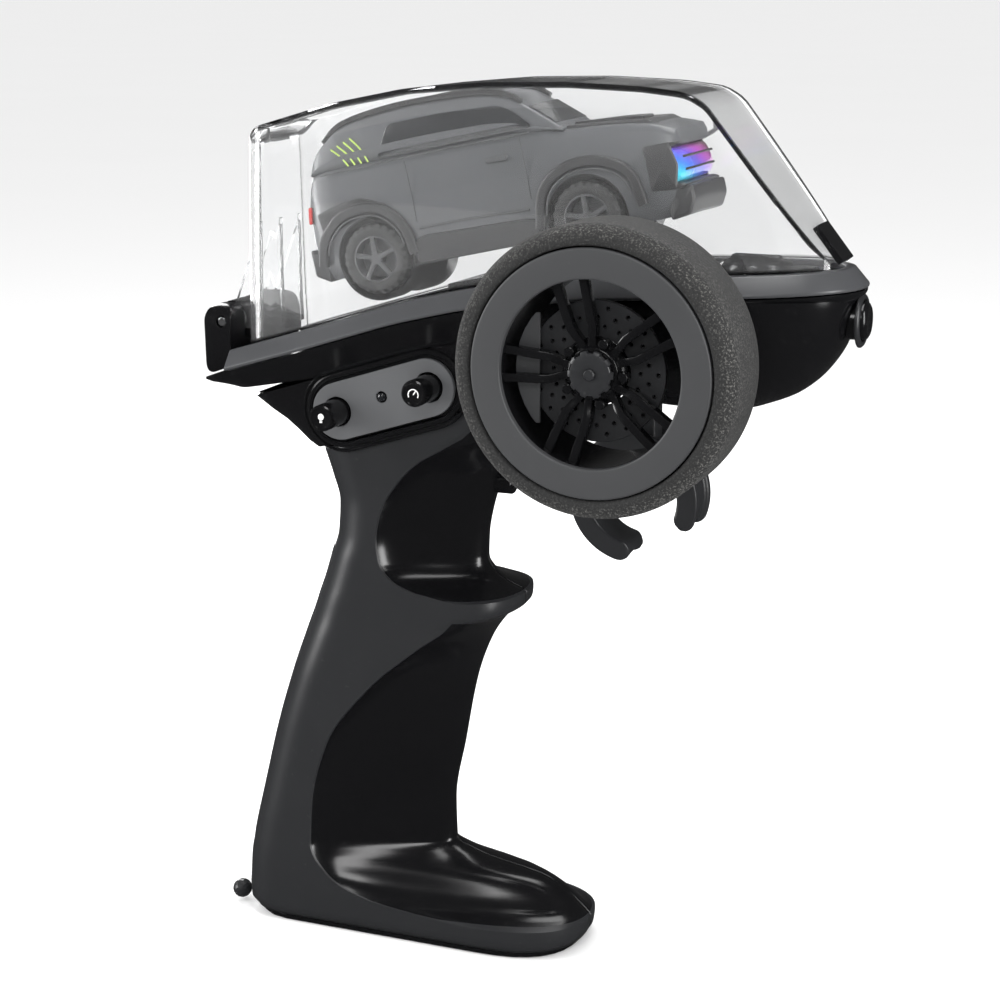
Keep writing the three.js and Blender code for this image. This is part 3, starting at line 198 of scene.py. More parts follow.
def swept(path, section, side, up):
    # a closed section of (side, up) offsets carried along a path with its own side and up directions
    path, side, up = np.array(path, float), np.array(side, float), np.array(up, float)
    section = np.array(section, float)
    if section.ndim == 2:
        section = np.broadcast_to(section, (len(path),) + section.shape)
    rings = path[:, None] + section[..., :1] * side[:, None] + section[..., 1:] * up[:, None]
    return facing(tube(rings))


def sweptAlong(path, section, side, up):
    # the same, with one side and one up direction all the way
    return swept(path, section, np.tile(side, (len(path), 1)), np.tile(up, (len(path), 1)))


def block(low, high):
    # a box between two opposite corners
    low, high = np.array(low, float), np.array(high, float)
    square = np.array([(0, 0), (1, 0), (1, 1), (0, 1)], float)
    rings = np.stack([np.column_stack([square, np.full(4, k)]) for k in (0.0, 1.0)])
    return facing(tube(low + rings * (high - low)))


def filledPlate(loops, place):
    # flat plate with holes: loops(inset) gives its outlines, place(outline, depth) puts them in space;
    # its front edge is chamfered and its walls run straight back
    chamfer, back = 0.12, 1.0
    levels = [(chamfer, 0.0), (0.0, chamfer), (0.0, back)]
    outlines = [loops(inset) for inset, depth in levels]
    points, faces, start = [], [], 0
    for rings in zip(*outlines):
        wall = np.stack([place(ring, depth) for ring, (inset, depth) in zip(rings, levels)])
        points.append(wall.reshape(-1, 3))
        faces.append(gridFaces(len(levels), wall.shape[1], wrapCols=True) + start)
        start += len(points[-1])
    counts = [len(outline) for outline in outlines[0]]
    starts = np.concatenate([[0], np.cumsum(counts)])
    loopIndex = [list(range(a, b)) for a, b in zip(starts[:-1], starts[1:])]
    for level in (0, len(levels) - 1):
        flat = [Vector(point) for point in np.concatenate(outlines[level])]
        places, _, triangles, sources = delaunay_2d_cdt(flat, [], loopIndex, 1, 1e-7)[:4]
        triangles = np.array(triangles)
        middles = np.array([tuple(place) for place in places])[triangles].mean(1)
        keep = np.ones(len(triangles), bool)
        for hole in outlines[level][1:]:
            centre = hole.mean(0)
            reach = np.linalg.norm(hole - centre, axis=1).min() * 0.98
            keep &= np.linalg.norm(middles - centre, axis=1) > reach
        own = np.concatenate([np.arange(n) + len(levels) * a + level * n for n, a in zip(counts, starts)])
        triangles = own[np.array([source[0] for source in sources])[triangles[keep]]]
        faces.append(triangles[:, ::-1] if level else triangles)
    return np.concatenate(points), faces


def circle(centre, radius, steps=24):
    # evenly spaced points at one distance from a flat centre
    angle = np.linspace(0, 2 * np.pi, steps, endpoint=False)
    return np.column_stack([centre[0] + radius * np.cos(angle), centre[1] + radius * np.sin(angle)])


def makeMesh(name, part, weld=False, smooth=35, values=None):
    # millimetre points times mm; values become one number at each point, for the materials
    points, faces = part
    mesh = bpy.data.meshes.new(name)
    mesh.from_pydata((points * mm).tolist(), [], [row for face in faces for row in face.tolist()])
    for label, numbers in (values or {}).items():
        layer = mesh.attributes.new(label, "FLOAT", "POINT")
        layer.data.foreach_set("value", np.asarray(numbers, np.float32))
    if weld:
        work = bmesh.new()
        work.from_mesh(mesh)
        bmesh.ops.remove_doubles(work, verts=work.verts, dist=2e-6)
        bmesh.ops.dissolve_degenerate(work, edges=work.edges, dist=1e-7)
        work.to_mesh(mesh)
        work.free()
    mesh.polygons.foreach_set("use_smooth", np.ones(len(mesh.polygons), bool))
    mesh.set_sharp_from_angle(angle=np.radians(smooth))
    mesh.update()
    return mesh


def makePiece(name, part, body, material, replaces=(), wall=None, bevel=None, inside=None,
              weld=False, smooth=35, values=None):
    # a part as an object on its body, with its material, slot, wall thickness and rounded edges
    part = facing(part, None if inside is None else np.array(inside, float))
    piece = bpy.data.objects.new(name, makeMesh(name, part, weld, smooth, values))
    bpy.context.scene.collection.objects.link(piece)
    piece.data.materials.append(material)
    if wall:
        solid = piece.modifiers.new("wall", "SOLIDIFY")
        solid.thickness = wall * mm
        solid.offset = -1
        solid.use_even_offset = True
        solid.thickness_clamp = 1
    if bevel:
        addBevel(piece, bevel)
    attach(piece, body)
    if replaces:
        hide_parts(*replaces)
    return piece


def addBevel(piece, width, segments=2, angle=32):
    # rounds every edge that turns by more than the angle
    edge = piece.modifiers.new("edges", "BEVEL")
    edge.width = width * mm
    edge.segments = segments
    edge.limit_method = "ANGLE"
    edge.angle_limit = np.radians(angle)
    edge.harden_normals = True


def carve(piece, cutters):
    # takes closed cutter parts out of a piece and keeps the result as its mesh
    made = []
    for part in cutters:
        tool = bpy.data.objects.new("cutter", makeMesh("cutter", facing(part)))
        bpy.context.scene.collection.objects.link(tool)
        cut = piece.modifiers.new("cut", "BOOLEAN")
        cut.object = tool
        cut.operation = "DIFFERENCE"
        cut.solver = "EXACT"
        made.append(tool)
    bpy.context.view_layer.update()
    graph = bpy.context.evaluated_depsgraph_get()
    result = bpy.data.meshes.new_from_object(piece.evaluated_get(graph))
    piece.modifiers.clear()
    piece.data = result
    for tool in made:
        bpy.data.objects.remove(tool)
    result.set_sharp_from_angle(angle=np.radians(35))


def groupSockets(group, inputs, outputs):
    # named inputs with their first values, and named outputs
    for name, kind, value in inputs:
        socket = group.interface.new_socket(name=name, in_out="INPUT", socket_type=kind)
        socket.default_value = value
    for name, kind in outputs:
        group.interface.new_socket(name=name, in_out="OUTPUT", socket_type=kind)


def mathNode(tree, operation, first, second=None, clamp=False):
    # one sum on numbers or sockets
    node = tree.nodes.new("ShaderNodeMath")
    node.operation = operation
    node.use_clamp = clamp
    for socket, value in zip(node.inputs, (first, second)):
        if value is None:
            continue
        if isinstance(value, (int, float)):
            socket.default_value = value
        else:
            tree.links.new(value, socket)
    return node.outputs[0]


def noiseNode(tree, vector, scale, detail=4, rough=0.55):
    # cloudy value from 0 to 1, with scale waves to the metre
    node = tree.nodes.new("ShaderNodeTexNoise")
    node.inputs["Detail"].default_value = detail
    node.inputs["Roughness"].default_value = rough
    tree.links.new(vector, node.inputs["Vector"])
    if isinstance(scale, (int, float)):
        node.inputs["Scale"].default_value = scale
    else:
        tree.links.new(scale, node.inputs["Scale"])
    return node.outputs["Fac"]


def mixNode(tree, factor, first, second):
    # first colour at factor 0, second at 1
    node = tree.nodes.new("ShaderNodeMix")
    node.data_type = "RGBA"
    for socket, value in ((node.inputs["Factor"], factor), (node.inputs["A"], first), (node.inputs["B"], second)):
        if isinstance(value, (int, float, tuple)):
            socket.default_value = value
        else:
            tree.links.new(value, socket)
    return node.outputs["Result"]


def buildMouldedGroup():
    # moulded plastic: slow colour drift, cloudy gloss, fine spark-eroded grain and rare dust specks
    group = bpy.data.node_groups.new("mouldedSurface", "ShaderNodeTree")
    groupSockets(
        group,
        [
            ("Color", "NodeSocketColor", (0.02, 0.02, 0.02, 1)),
            ("Shade", "NodeSocketColor", (0.03, 0.03, 0.03, 1)),
            ("Roughness", "NodeSocketFloat", 0.3),
            ("Drift", "NodeSocketFloat", 0.1),
            ("Grain Scale", "NodeSocketFloat", 2500.0),
            ("Dust", "NodeSocketFloat", 0.1),
        ],
        [("Color", "NodeSocketColor"), ("Roughness", "NodeSocketFloat"), ("Height", "NodeSocketFloat")],
    )
    start = group.nodes.new("NodeGroupInput")
    end = group.nodes.new("NodeGroupOutput")
    where = group.nodes.new("ShaderNodeTexCoord").outputs["Object"]
    slow = noiseNode(group, where, 38.0, 3)
    cloud = noiseNode(group, where, 160.0, 5, 0.65)
    grain = noiseNode(group, where, start.outputs["Grain Scale"], 2, 0.5)
    speck = noiseNode(group, where, 900.0, 1, 0.4)
    dustMask = mathNode(group, "MULTIPLY", mathNode(group, "SUBTRACT", speck, 0.72), 9.0, clamp=True)
    dust = mathNode(group, "MULTIPLY", dustMask, start.outputs["Dust"])
    color = mixNode(group, slow, start.outputs["Color"], start.outputs["Shade"])
    color = mixNode(group, dust, color, (0.32, 0.32, 0.31, 1))
    spread = mathNode(group, "MULTIPLY", mathNode(group, "SUBTRACT", cloud, 0.5), start.outputs["Drift"])
    rough = mathNode(group, "ADD", mathNode(group, "ADD", start.outputs["Roughness"], spread), dust)
    group.links.new(color, end.inputs["Color"])
    group.links.new(rough, end.inputs["Roughness"])
    group.links.new(grain, end.inputs["Height"])
    return group


mouldedGroup = buildMouldedGroup()


def newMaterial(name):
    # an empty material with its nodes and its Principled shader
    material = bpy.data.materials.new(name)
    material.use_nodes = True
    tree = material.node_tree
    return material, tree, tree.nodes["Principled BSDF"]


def addBump(tree, shader, height, strength, distance=0.00005):
    # the height bends the normal, and the clear coat's too where there is one
    bump = tree.nodes.new("ShaderNodeBump")
    bump.inputs["Strength"].default_value = strength
    bump.inputs["Distance"].default_value = distance
    tree.links.new(height, bump.inputs["Height"])
    tree.links.new(bump.outputs["Normal"], shader.inputs["Normal"])
    if shader.inputs["Coat Weight"].default_value > 0:
        tree.links.new(bump.outputs["Normal"], shader.inputs["Coat Normal"])


def placeMoulded(tree, spec):
    # the shared plastic surface with one finish's own values
    node = tree.nodes.new("ShaderNodeGroup")
    node.node_tree = mouldedGroup
    node.inputs["Color"].default_value = (*spec["color"], 1)
    node.inputs["Shade"].default_value = (*spec["shade"], 1)
    node.inputs["Roughness"].default_value = spec["rough"]
    node.inputs["Drift"].default_value = spec.get("drift", 0.08)
    node.inputs["Grain Scale"].default_value = spec.get("grain", 2600.0)
    node.inputs["Dust"].default_value = spec.get("dust", 0.04)
    return node


def mouldedMaterial(name, spec):
    # a whole material from one finish
    material, tree, shader = newMaterial(name)
    node = placeMoulded(tree, spec)
    tree.links.new(node.outputs["Color"], shader.inputs["Base Color"])
    tree.links.new(node.outputs["Roughness"], shader.inputs["Roughness"])
    shader.inputs["Metallic"].default_value = spec.get("metal", 0.0)
    shader.inputs["IOR"].default_value = spec.get("ior", 1.48)
    shader.inputs["Coat Weight"].default_value = spec.get("coat", 0.0)
    shader.inputs["Coat Roughness"].default_value = 0.08
    addBump(tree, shader, node.outputs["Height"], spec.get("bump", 0.12), spec.get("depth", 0.00004))
    return material


finishes = {
    "glossBlack": {"color": (0.003, 0.003, 0.0035), "shade": (0.005, 0.005, 0.0055), "rough": 0.18, "drift": 0.05,
                   "bump": 0.05, "dust": 0.02},
    "satinGrey": {"color": (0.014, 0.0145, 0.016), "shade": (0.018, 0.0185, 0.020), "rough": 0.34, "bump": 0.14},
    "bandGrey": {"color": (0.044, 0.045, 0.048), "shade": (0.052, 0.053, 0.056), "rough": 0.3, "bump": 0.1},
    "panelGrey": {"color": (0.075, 0.077, 0.081), "shade": (0.085, 0.087, 0.091), "rough": 0.5, "bump": 0.22,
                  "grain": 3200.0},
    "ringGrey": {"color": (0.036, 0.037, 0.039), "shade": (0.042, 0.043, 0.045), "rough": 0.48, "bump": 0.2,
                 "grain": 3200.0},
    "carGrey": {"color": (0.050, 0.052, 0.056), "shade": (0.060, 0.062, 0.066), "rough": 0.34, "coat": 0.3,
                "grain": 4200.0, "bump": 0.1},
    "carTrim": {"color": (0.008, 0.008, 0.009), "shade": (0.014, 0.014, 0.015), "rough": 0.42, "bump": 0.3,
                "grain": 1900.0},
    "carRubber": {"color": (0.010, 0.010, 0.010), "shade": (0.020, 0.020, 0.020), "rough": 0.72, "bump": 0.4,
                  "grain": 2200.0, "dust": 0.14},
    "carGlass": {"color": (0.008, 0.009, 0.010), "shade": (0.012, 0.013, 0.015), "rough": 0.08, "coat": 0.6,
                 "bump": 0.02},
    "springSteel": {"color": (0.55, 0.56, 0.57), "shade": (0.62, 0.63, 0.64), "rough": 0.24, "metal": 1.0,
                    "grain": 5200.0, "bump": 0.1},
    "brass": {"color": (0.56, 0.40, 0.16), "shade": (0.66, 0.50, 0.24), "rough": 0.28, "metal": 1.0},
    "boardGreen": {"color": (0.015, 0.09, 0.045), "shade": (0.03, 0.15, 0.07), "rough": 0.4, "grain": 700.0,
                   "bump": 0.5},
    "cellWrap": {"color": (0.03, 0.12, 0.26), "shade": (0.05, 0.17, 0.34), "rough": 0.28, "coat": 0.4},
    "iconWhite": {"color": (0.78, 0.78, 0.77), "shade": (0.86, 0.86, 0.85), "rough": 0.45},
    "tailRed": {"color": (0.32, 0.012, 0.01), "shade": (0.45, 0.02, 0.015), "rough": 0.16, "coat": 0.5},
    "accentGreen": {"color": (0.30, 0.42, 0.05), "shade": (0.36, 0.50, 0.08), "rough": 0.4},
}
finish = {name: mouldedMaterial(name, spec) for name, spec in finishes.items()}


def gripMaterial():
    # satin outer faces and polished scoops, told apart by the piece's own scoop value
    material, tree, shader = newMaterial("gripTwoTone")
    satin = placeMoulded(tree, finishes["satinGrey"])
    gloss = placeMoulded(tree, finishes["glossBlack"])
    mask = tree.nodes.new("ShaderNodeAttribute")
    mask.attribute_name = "scoop"
    sharp = mathNode(tree, "MULTIPLY", mathNode(tree, "SUBTRACT", mask.outputs["Fac"], 0.45), 10.0, clamp=True)
    color = mixNode(tree, sharp, satin.outputs["Color"], gloss.outputs["Color"])
    rough = mathNode(tree, "ADD", satin.outputs["Roughness"], mathNode(tree, "MULTIPLY", sharp, -0.16))
    tree.links.new(color, shader.inputs["Base Color"])
    tree.links.new(rough, shader.inputs["Roughness"])
    shader.inputs["IOR"].default_value = 1.48
    height = mathNode(tree, "MULTIPLY", satin.outputs["Height"], mathNode(tree, "SUBTRACT", 1.15, sharp))
    addBump(tree, shader, height, 0.16, 0.00004)
    return material


def foamMaterial():
    # open-cell foam: pits and torn cell walls over a soft dark body, with pale worn flecks
    material, tree, shader = newMaterial("foamBlack")
    where = tree.nodes.new("ShaderNodeTexCoord").outputs["Object"]
    cells = tree.nodes.new("ShaderNodeTexVoronoi")
    cells.inputs["Scale"].default_value = 1700.0
    tree.links.new(where, cells.inputs["Vector"])
    grain = noiseNode(tree, where, 2400.0, 3, 0.75)
    slow = noiseNode(tree, where, 90.0, 3)
    pit = cells.outputs["Distance"]
    fleck = mathNode(tree, "MULTIPLY", mathNode(tree, "SUBTRACT", grain, 0.53), 8.0, clamp=True)
    edgeMask = tree.nodes.new("ShaderNodeAttribute")
    edgeMask.attribute_name = "worn"
    worn = mathNode(tree, "MULTIPLY", fleck, edgeMask.outputs["Fac"])
    base = mixNode(tree, slow, (0.010, 0.010, 0.010, 1), (0.016, 0.016, 0.016, 1))
    base = mixNode(tree, mathNode(tree, "MULTIPLY", fleck, 0.35), base, (0.07, 0.07, 0.068, 1))
    base = mixNode(tree, worn, base, (0.11, 0.107, 0.10, 1))
    tree.links.new(base, shader.inputs["Base Color"])
    rough = mathNode(tree, "ADD", mathNode(tree, "MULTIPLY", grain, 0.15), 0.8)
    tree.links.new(rough, shader.inputs["Roughness"])
    shader.inputs["Sheen Weight"].default_value = 0.03
    shader.inputs["Sheen Roughness"].default_value = 0.5
    height = mathNode(tree, "ADD", mathNode(tree, "MULTIPLY", pit, 1.2), grain)
    addBump(tree, shader, height, 0.55, 0.00022)
    return material


def clearMaterial():
    # clear styrene: faint flow lines, hairline scuffs, and painted dark reflection lines along the moulded edges
    material, tree, shader = newMaterial("clearStyrene")
    where = tree.nodes.new("ShaderNodeTexCoord").outputs["Object"]
    flow = noiseNode(tree, where, 24.0, 2)
    scuff = noiseNode(tree, where, 1500.0, 3, 0.7)
    edge = tree.nodes.new("ShaderNodeAttribute")
    edge.attribute_name = "edge"
    # the edge value paints near-black reflection lines into the colour, in place of internal reflection of dark
    # surroundings
    dark = mathNode(tree, "MULTIPLY", mathNode(tree, "SUBTRACT", edge.outputs["Fac"], 0.2), 3.2, clamp=True)
    body = mixNode(tree, flow, (0.975, 0.98, 0.982, 1), (0.995, 0.997, 1.0, 1))
    tree.links.new(mixNode(tree, dark, body, (0.03, 0.03, 0.032, 1)), shader.inputs["Base Color"])
    haze = mathNode(tree, "MULTIPLY", mathNode(tree, "SUBTRACT", scuff, 0.55), 0.12, clamp=True)
    tree.links.new(mathNode(tree, "ADD", haze, 0.015), shader.inputs["Roughness"])
    shader.inputs["IOR"].default_value = 1.45
    shader.inputs["Metallic"].default_value = 0.0
    shader.inputs["Transmission Weight"].default_value = 0.98
    addBump(tree, shader, flow, 0.02, 0.0001)
    return material


def lensMaterial():
    # lamp lens with a painted iridescent sheen that runs from cyan through blue and violet to magenta, and a faint
    # painted glow
    material, tree, shader = newMaterial("lensPaintedSheen")
    across = tree.nodes.new("ShaderNodeAttribute")
    across.attribute_name = "sweep"
    where = tree.nodes.new("ShaderNodeTexCoord").outputs["Object"]
    wobble = mathNode(tree, "MULTIPLY", mathNode(tree, "SUBTRACT", noiseNode(tree, where, 260.0, 2), 0.5), 0.14)
    ramp = tree.nodes.new("ShaderNodeValToRGB")
    stops = [
        (0.0, (0.01, 0.30, 0.38, 1)),
        (0.16, (0.02, 0.52, 0.72, 1)),
        (0.36, (0.02, 0.16, 0.72, 1)),
        (0.58, (0.12, 0.05, 0.58, 1)),
        (0.80, (0.42, 0.03, 0.42, 1)),
        (1.0, (0.16, 0.02, 0.08, 1)),
    ]
    while len(ramp.color_ramp.elements) < len(stops):
        ramp.color_ramp.elements.new(0.5)
    for element, (position, color) in zip(ramp.color_ramp.elements, stops):
        element.position = position
        element.color = color
    tree.links.new(mathNode(tree, "ADD", across.outputs["Fac"], wobble), ramp.inputs["Fac"])
    tree.links.new(ramp.outputs["Color"], shader.inputs["Base Color"])
    tree.links.new(ramp.outputs["Color"], shader.inputs["Emission Color"])
    # painted glow: the lens gives off its own colour
    shader.inputs["Emission Strength"].default_value = 0.35
    shader.inputs["Metallic"].default_value = 0.3
    shader.inputs["Roughness"].default_value = 0.12
    shader.inputs["Coat Weight"].default_value = 1.0
    return material


finish["grip"] = gripMaterial()
finish["foam"] = foamMaterial()
finish["clear"] = clearMaterial()
finish["lens"] = lensMaterial()
print("materials made:", len(finish))


grip = {
    "rearRound": 10,
    "wall": 1.7,
    "seam": 0.1,
    "seatedFrom": 96,
    "rowStep": 0.9,
    "tipRows": 16,
    # points across each half: door strip, rear corner, flat side, scoop
    "columns": (9, 12, 8, 32),
    "sections": [
        # height, rear x, crease x, nose x, half width, sweep forward, sweep inward, nose half width
        (1.5, -42.2, 18, 37.8, 16.0, 13, 0, 11),
        (3.2, -43.4, 18, 38.8, 16.6, 13, 0, 11),
        (6.4, -43.6, 15, 39.2, 16.6, 15, 0.2, 11.5),
        (7.4, -43.5, 2, 38.4, 16.6, 19, 2, 12),
        (8.7, -43.4, -9, 37, 16.6, 15, 4.4, 12),
        (12, -43.2, -18, 33, 16.6, 9, 6.8, 11.5),
        (14.7, -42.9, -21, 27, 16.6, 7, 7.5, 10.5),
        (17.2, -42.4, -22.9, 13.5, 16.6, 6, 8, 9),
        (20.7, -41.8, -24, 6, 16.5, 5, 8.5, 7.5),
        (30, -39.6, -23.6, 5.8, 16.3, 5, 8.8, 6.8),
        (45, -35.9, -19.7, 8.4, 16, 5, 8.6, 6.8),
        (60, -31.2, -8.5, 11.2, 16, 5, 7, 7),
        (70, -27.5, 3, 14.6, 15.8, 3.5, 4.5, 8),
        (76, -25.2, 10.5, 18.7, 15.6, 4, 2, 9),
        (78.9, -24.2, 12, 22.8, 15.6, 7, 0.3, 9.5),
        (81.8, -23.1, 11, 23.2, 15.6, 7.5, 0.2, 9.5),
        (83.2, -22.6, 2.5, 20, 15.6, 9, 4, 9),
        (85.4, -21.9, -3, 16.2, 15.6, 6, 7, 7.5),
        (89, -20.8, -5.8, 14.0, 15.6, 5, 8.2, 6.5),
        (94.5, -19.1, -6.6, 14.2, 15.6, 5, 8.4, 6.5),
        (101.5, -18.7, -5.1, 15.5, 15.6, 5, 8, 6.8),
        (107.4, -20.2, -1.4, 17.5, 15.7, 5, 7, 7.5),
        (112.3, -21.8, 3.4, 20.5, 15.9, 5, 5, 9),
        (115.7, -23, 9.4, 23.5, 16, 5, 3, 10),
        (120, -24.5, 16, 27, 16, 6, 1.5, 10.5),
        (128, -26, 20, 30, 16, 7, 0.5, 11),
    ],
}
door = {"low": 20.0, "high": 91.0, "half": 8.6, "thick": 2.0, "proud": 0.5, "gap": 0.3}
neck = {"tilt": np.radians(17.7), "foot": (-22.0, 113.2), "half": 16.5, "front": 51.5, "rearRound": 7,
        "frontRound": 9,
        "levels": [(0.3, 0), (2.2, -1.7), (5, -3.4), (8.2, -5.6), (11, -8.2), (15, -11.4)]}
gripAt = curveThrough(grip["sections"])


def rearCurve(y, rear, half):
    # rear face: flat in the middle, then a quarter circle out to the side
    reach = np.clip(np.abs(y) - (half - grip["rearRound"]), 0, grip["rearRound"])
    return rear + grip["rearRound"] - np.sqrt(np.maximum(grip["rearRound"] ** 2 - reach**2, 0))


def gripGrid():
    # half of the grip's skin: each row is a level, and runs from the rear seam round the side,
    # along the flat face to the crease and down the scoop to the nose; the top rows tip to the neck's slope
    stations = [row[0] for row in grip["sections"] if row[0] < grip["seatedFrom"]]
    stations = sorted(set(stations + [door["low"], door["high"], grip["seatedFrom"]]))
    levels = [np.linspace(a, b, max(2, int((b - a) / grip["rowStep"]) + 1), endpoint=False)
              for a, b in zip(stations[:-1], stations[1:])]
    tip = np.linspace(0, 1, grip["tipRows"])
    seat = neck["foot"][1] - 0.15
    levels = np.concatenate([*levels, grip["seatedFrom"] + tip * (seat - grip["seatedFrom"])])
    tipped = np.concatenate([np.zeros(len(levels) - len(tip)), tip])[:, None] * np.tan(neck["tilt"])
    rearT, *others = [np.linspace(0, 1, count + (k > 0)) for k, count in enumerate(grip["columns"])]
    arcT, flatT, t = [share[1:] for share in others]
    ends = np.cumsum((0,) + grip["columns"])
    strip, corner, flat, sweep = [slice(a, b) for a, b in zip(ends[:-1], ends[1:])]
    turn, seam = grip["rearRound"], grip["seam"]
    z = np.repeat(levels[:, None], ends[-1], 1)
    for settle in range(4):  # the tipped rows' heights depend on x, and x on the heights
        rear, crease, nose, half, forward, inward, noseHalf = np.moveaxis(gripAt(z), -1, 0)
        x, y = np.zeros_like(z), np.zeros_like(z)
        y[:, strip] = -(seam + rearT * (door["half"] - seam))
        x[:, strip] = rearCurve(y[:, strip], rear[:, strip], half[:, strip])
        start = np.arcsin(np.clip((door["half"] - (half[:, corner] - turn)) / turn, 0, 1))
        angle = start + arcT * (np.pi / 2 - start)
        y[:, corner] = -(half[:, corner] - turn) - turn * np.sin(angle)
        x[:, corner] = rear[:, corner] + turn * (1 - np.cos(angle))
        x[:, flat] = (rear[:, flat] + turn) * (1 - flatT) + crease[:, flat] * flatT
        y[:, flat] = -half[:, flat]
        c, f, n, h = crease[:, sweep], forward[:, sweep], nose[:, sweep], half[:, sweep]
        weights = (1 - t) ** 3, 3 * (1 - t) ** 2 * t, 3 * (1 - t) * t * t, t**3
        x[:, sweep] = weights[0] * c + weights[1] * (c + f) + (weights[2] + weights[3]) * n
        y[:, sweep] = -(weights[0] * h + weights[1] * (h - inward[:, sweep])
                        + weights[2] * noseHalf[:, sweep])
        y[:, sweep] = np.minimum(y[:, sweep], -seam)
        z = levels[:, None] + tipped * (x - neck["foot"][0])
    scoop = np.zeros(z.shape)
    scoop[:, sweep] = 1
    scoop *= np.clip((inward[:, sweep.start - 1, None] - 0.6) / 1.2, 0, 1)
    return np.stack([x, y, z], -1), scoop, levels


def makeGrip():
    # both halves of the skin, without the faces that the battery door takes the place of
    points, scoop, levels = gripGrid()
    cols = points.shape[1]
    flat, (faces,) = patch(points)
    cell = np.arange(len(faces))
    cellRow, cellCol = cell // (cols - 1), cell % (cols - 1)
    middle = (levels[cellRow] + levels[cellRow + 1]) / 2
    isDoor = (cellCol < grip["columns"][0] - 1) & (middle > door["low"]) & (middle < door["high"])
    skin = (flat, [faces[~isDoor]])
    for name, node, part in (("gripShellRight", "grip_right_shell", skin),
                             ("gripShellLeft", "grip_left_shell", mirrored(skin))):
        makePiece(name, part, "housing", finish["grip"], [node], wall=grip["wall"],
                  inside=(-12, 0, 60), values={"scoop": scoop.ravel()}, smooth=30)


def makeDoor():
    # the door's skin swells out of the grip's rear by a rounded amount, with pull grooves near its foot
    cols, rows = 41, 150
    half = door["half"] - door["gap"]
    low, high = door["low"] + door["gap"], door["high"] - door["gap"]
    v, u = np.meshgrid(np.linspace(0, 1, rows), np.linspace(-1, 1, cols), indexing="ij")
    y = u * half
    z = low + v * (high - low)
    rear, sideHalf = gripAt(z)[..., 0], gripAt(z)[..., 3]
    edge = np.minimum((1 - np.abs(u)) * half, np.minimum(v, 1 - v) * (high - low))
    swell = door["proud"] * np.sqrt(np.clip(1 - (1 - np.clip(edge / 2.2, 0, 1)) ** 2, 0, 1))
    groove = np.clip(1 - np.abs(u) * 1.5, 0, 1) ** 0.3 * (np.cos((z - low - 8) * 2 * np.pi / 2.4) > 0.55)
    groove *= (z > low + 3) & (z < low + 15)
    notch = (np.abs(u) < 0.35) & (z < low + 2.0)
    outer = rearCurve(y, rear, sideHalf) - swell + 0.45 * groove + 1.1 * notch
    inner = rearCurve(y, rear, sideHalf) + door["thick"]
    outerPart = patch(np.stack([outer, y, z], -1))
    innerPart = patch(np.stack([inner, y, z], -1))
    rim = np.concatenate([np.arange(cols), np.arange(1, rows) * cols + cols - 1,
                          (rows - 1) * cols + np.arange(cols - 2, -1, -1), np.arange(rows - 2, 0, -1) * cols])
    count = cols * rows
    walls = np.stack([rim, np.roll(rim, -1), np.roll(rim, -1) + count, rim + count], 1)
    points = np.vstack([outerPart[0], innerPart[0]])
    faces = [outerPart[1][0], innerPart[1][0][:, ::-1] + count, walls[:, ::-1]]
    makePiece("batteryDoor", (points, faces), "door", finish["glossBlack"], ["battery_door"])


makeGrip()
makeDoor()
print("grip and door made")


head = {
    "half": 21, "nose": 97.2, "taper": 50, "corner": 5, "seam": 0.12, "wall": 1.8,
    "sheer": [(-60, 129), (-50, 132.0), (-22.7, 140.2), (1.2, 147.9), (17.3, 151.8), (45, 155.2), (75, 156.9),
              (98, 158), (110, 158.6)],
    # how far each line of the hull is drawn in, where its tail is, and its depth below the band's top
    "hull": [(0.3, -46.9, 4.5), (0.35, -46.9, 5.0), (0.9, -45.5, 6.0), (2.0, -43.7, 7.8), (3.1, -41.9, 9.5),
             (4.05, -40.35, 11.0), (4.3, -40.0, 11.2)],
    # height, rear, front and half width of the bowl under the bow
    "bowl": [(127.2, 55, 70.5, 2.4), (127.3, 53, 72.5, 4.4), (128.9, 47, 78.2, 8), (131.8, 41, 84.6, 11.8),
             (136.5, 36, 89.8, 15.2), (142.5, 32, 93.4, 17.8), (149, 29, 95, 19.2), (152, 28, 95.4, 19.5)],
}


def sheerZ(x):
    # top line of the rim band: straight runs with their corners averaged out
    keys, heights = np.array(head["sheer"]).T
    return sum(np.interp(x + step, keys, heights) for step in (-4, -2, 0, 2, 4)) / 5


def fromNeck(u, y, v):
    # a place in the neck's tilted frame; u runs forwards and v upwards
    c, s = np.cos(neck["tilt"]), np.sin(neck["tilt"])
    x = neck["foot"][0] + u * c - v * s
    return np.stack(np.broadcast_arrays(x, y, neck["foot"][1] + u * s + v * c), -1)


def planPath(inset, tail, seam=0.0):
    # half of the head's outline from above: straight tail, corner arc, straight side, curved bow
    half, nose, turn, taper = head["half"] - inset, head["nose"] - inset, head["corner"], head["taper"]
    cross = tailFractions()
    angle = np.linspace(0, np.pi / 2, 10)[1:]
    run = np.linspace(0, 1, 61)[1:]
    path = np.concatenate([
        np.column_stack([np.full(len(cross), tail), -cross * (half - turn)]),
        np.column_stack([tail + turn * (1 - np.cos(angle)), -(half - turn) - turn * np.sin(angle)]),
        np.column_stack([tail + turn + run * (taper - tail - turn), np.full(60, -half)]),
        bezier(np.linspace(0, 1, 61)[1:], (taper, -half), (taper + 32, -half), (nose, -0.6 * half), (nose, 0)),
    ])
    path[:, 1] = np.minimum(path[:, 1], -seam)
    return path


def tailFractions():
    # shares of the way from the middle of the tail to its corner, with one more close to the corner
    return np.sort(np.append(np.linspace(0, 1, 12), 0.94))


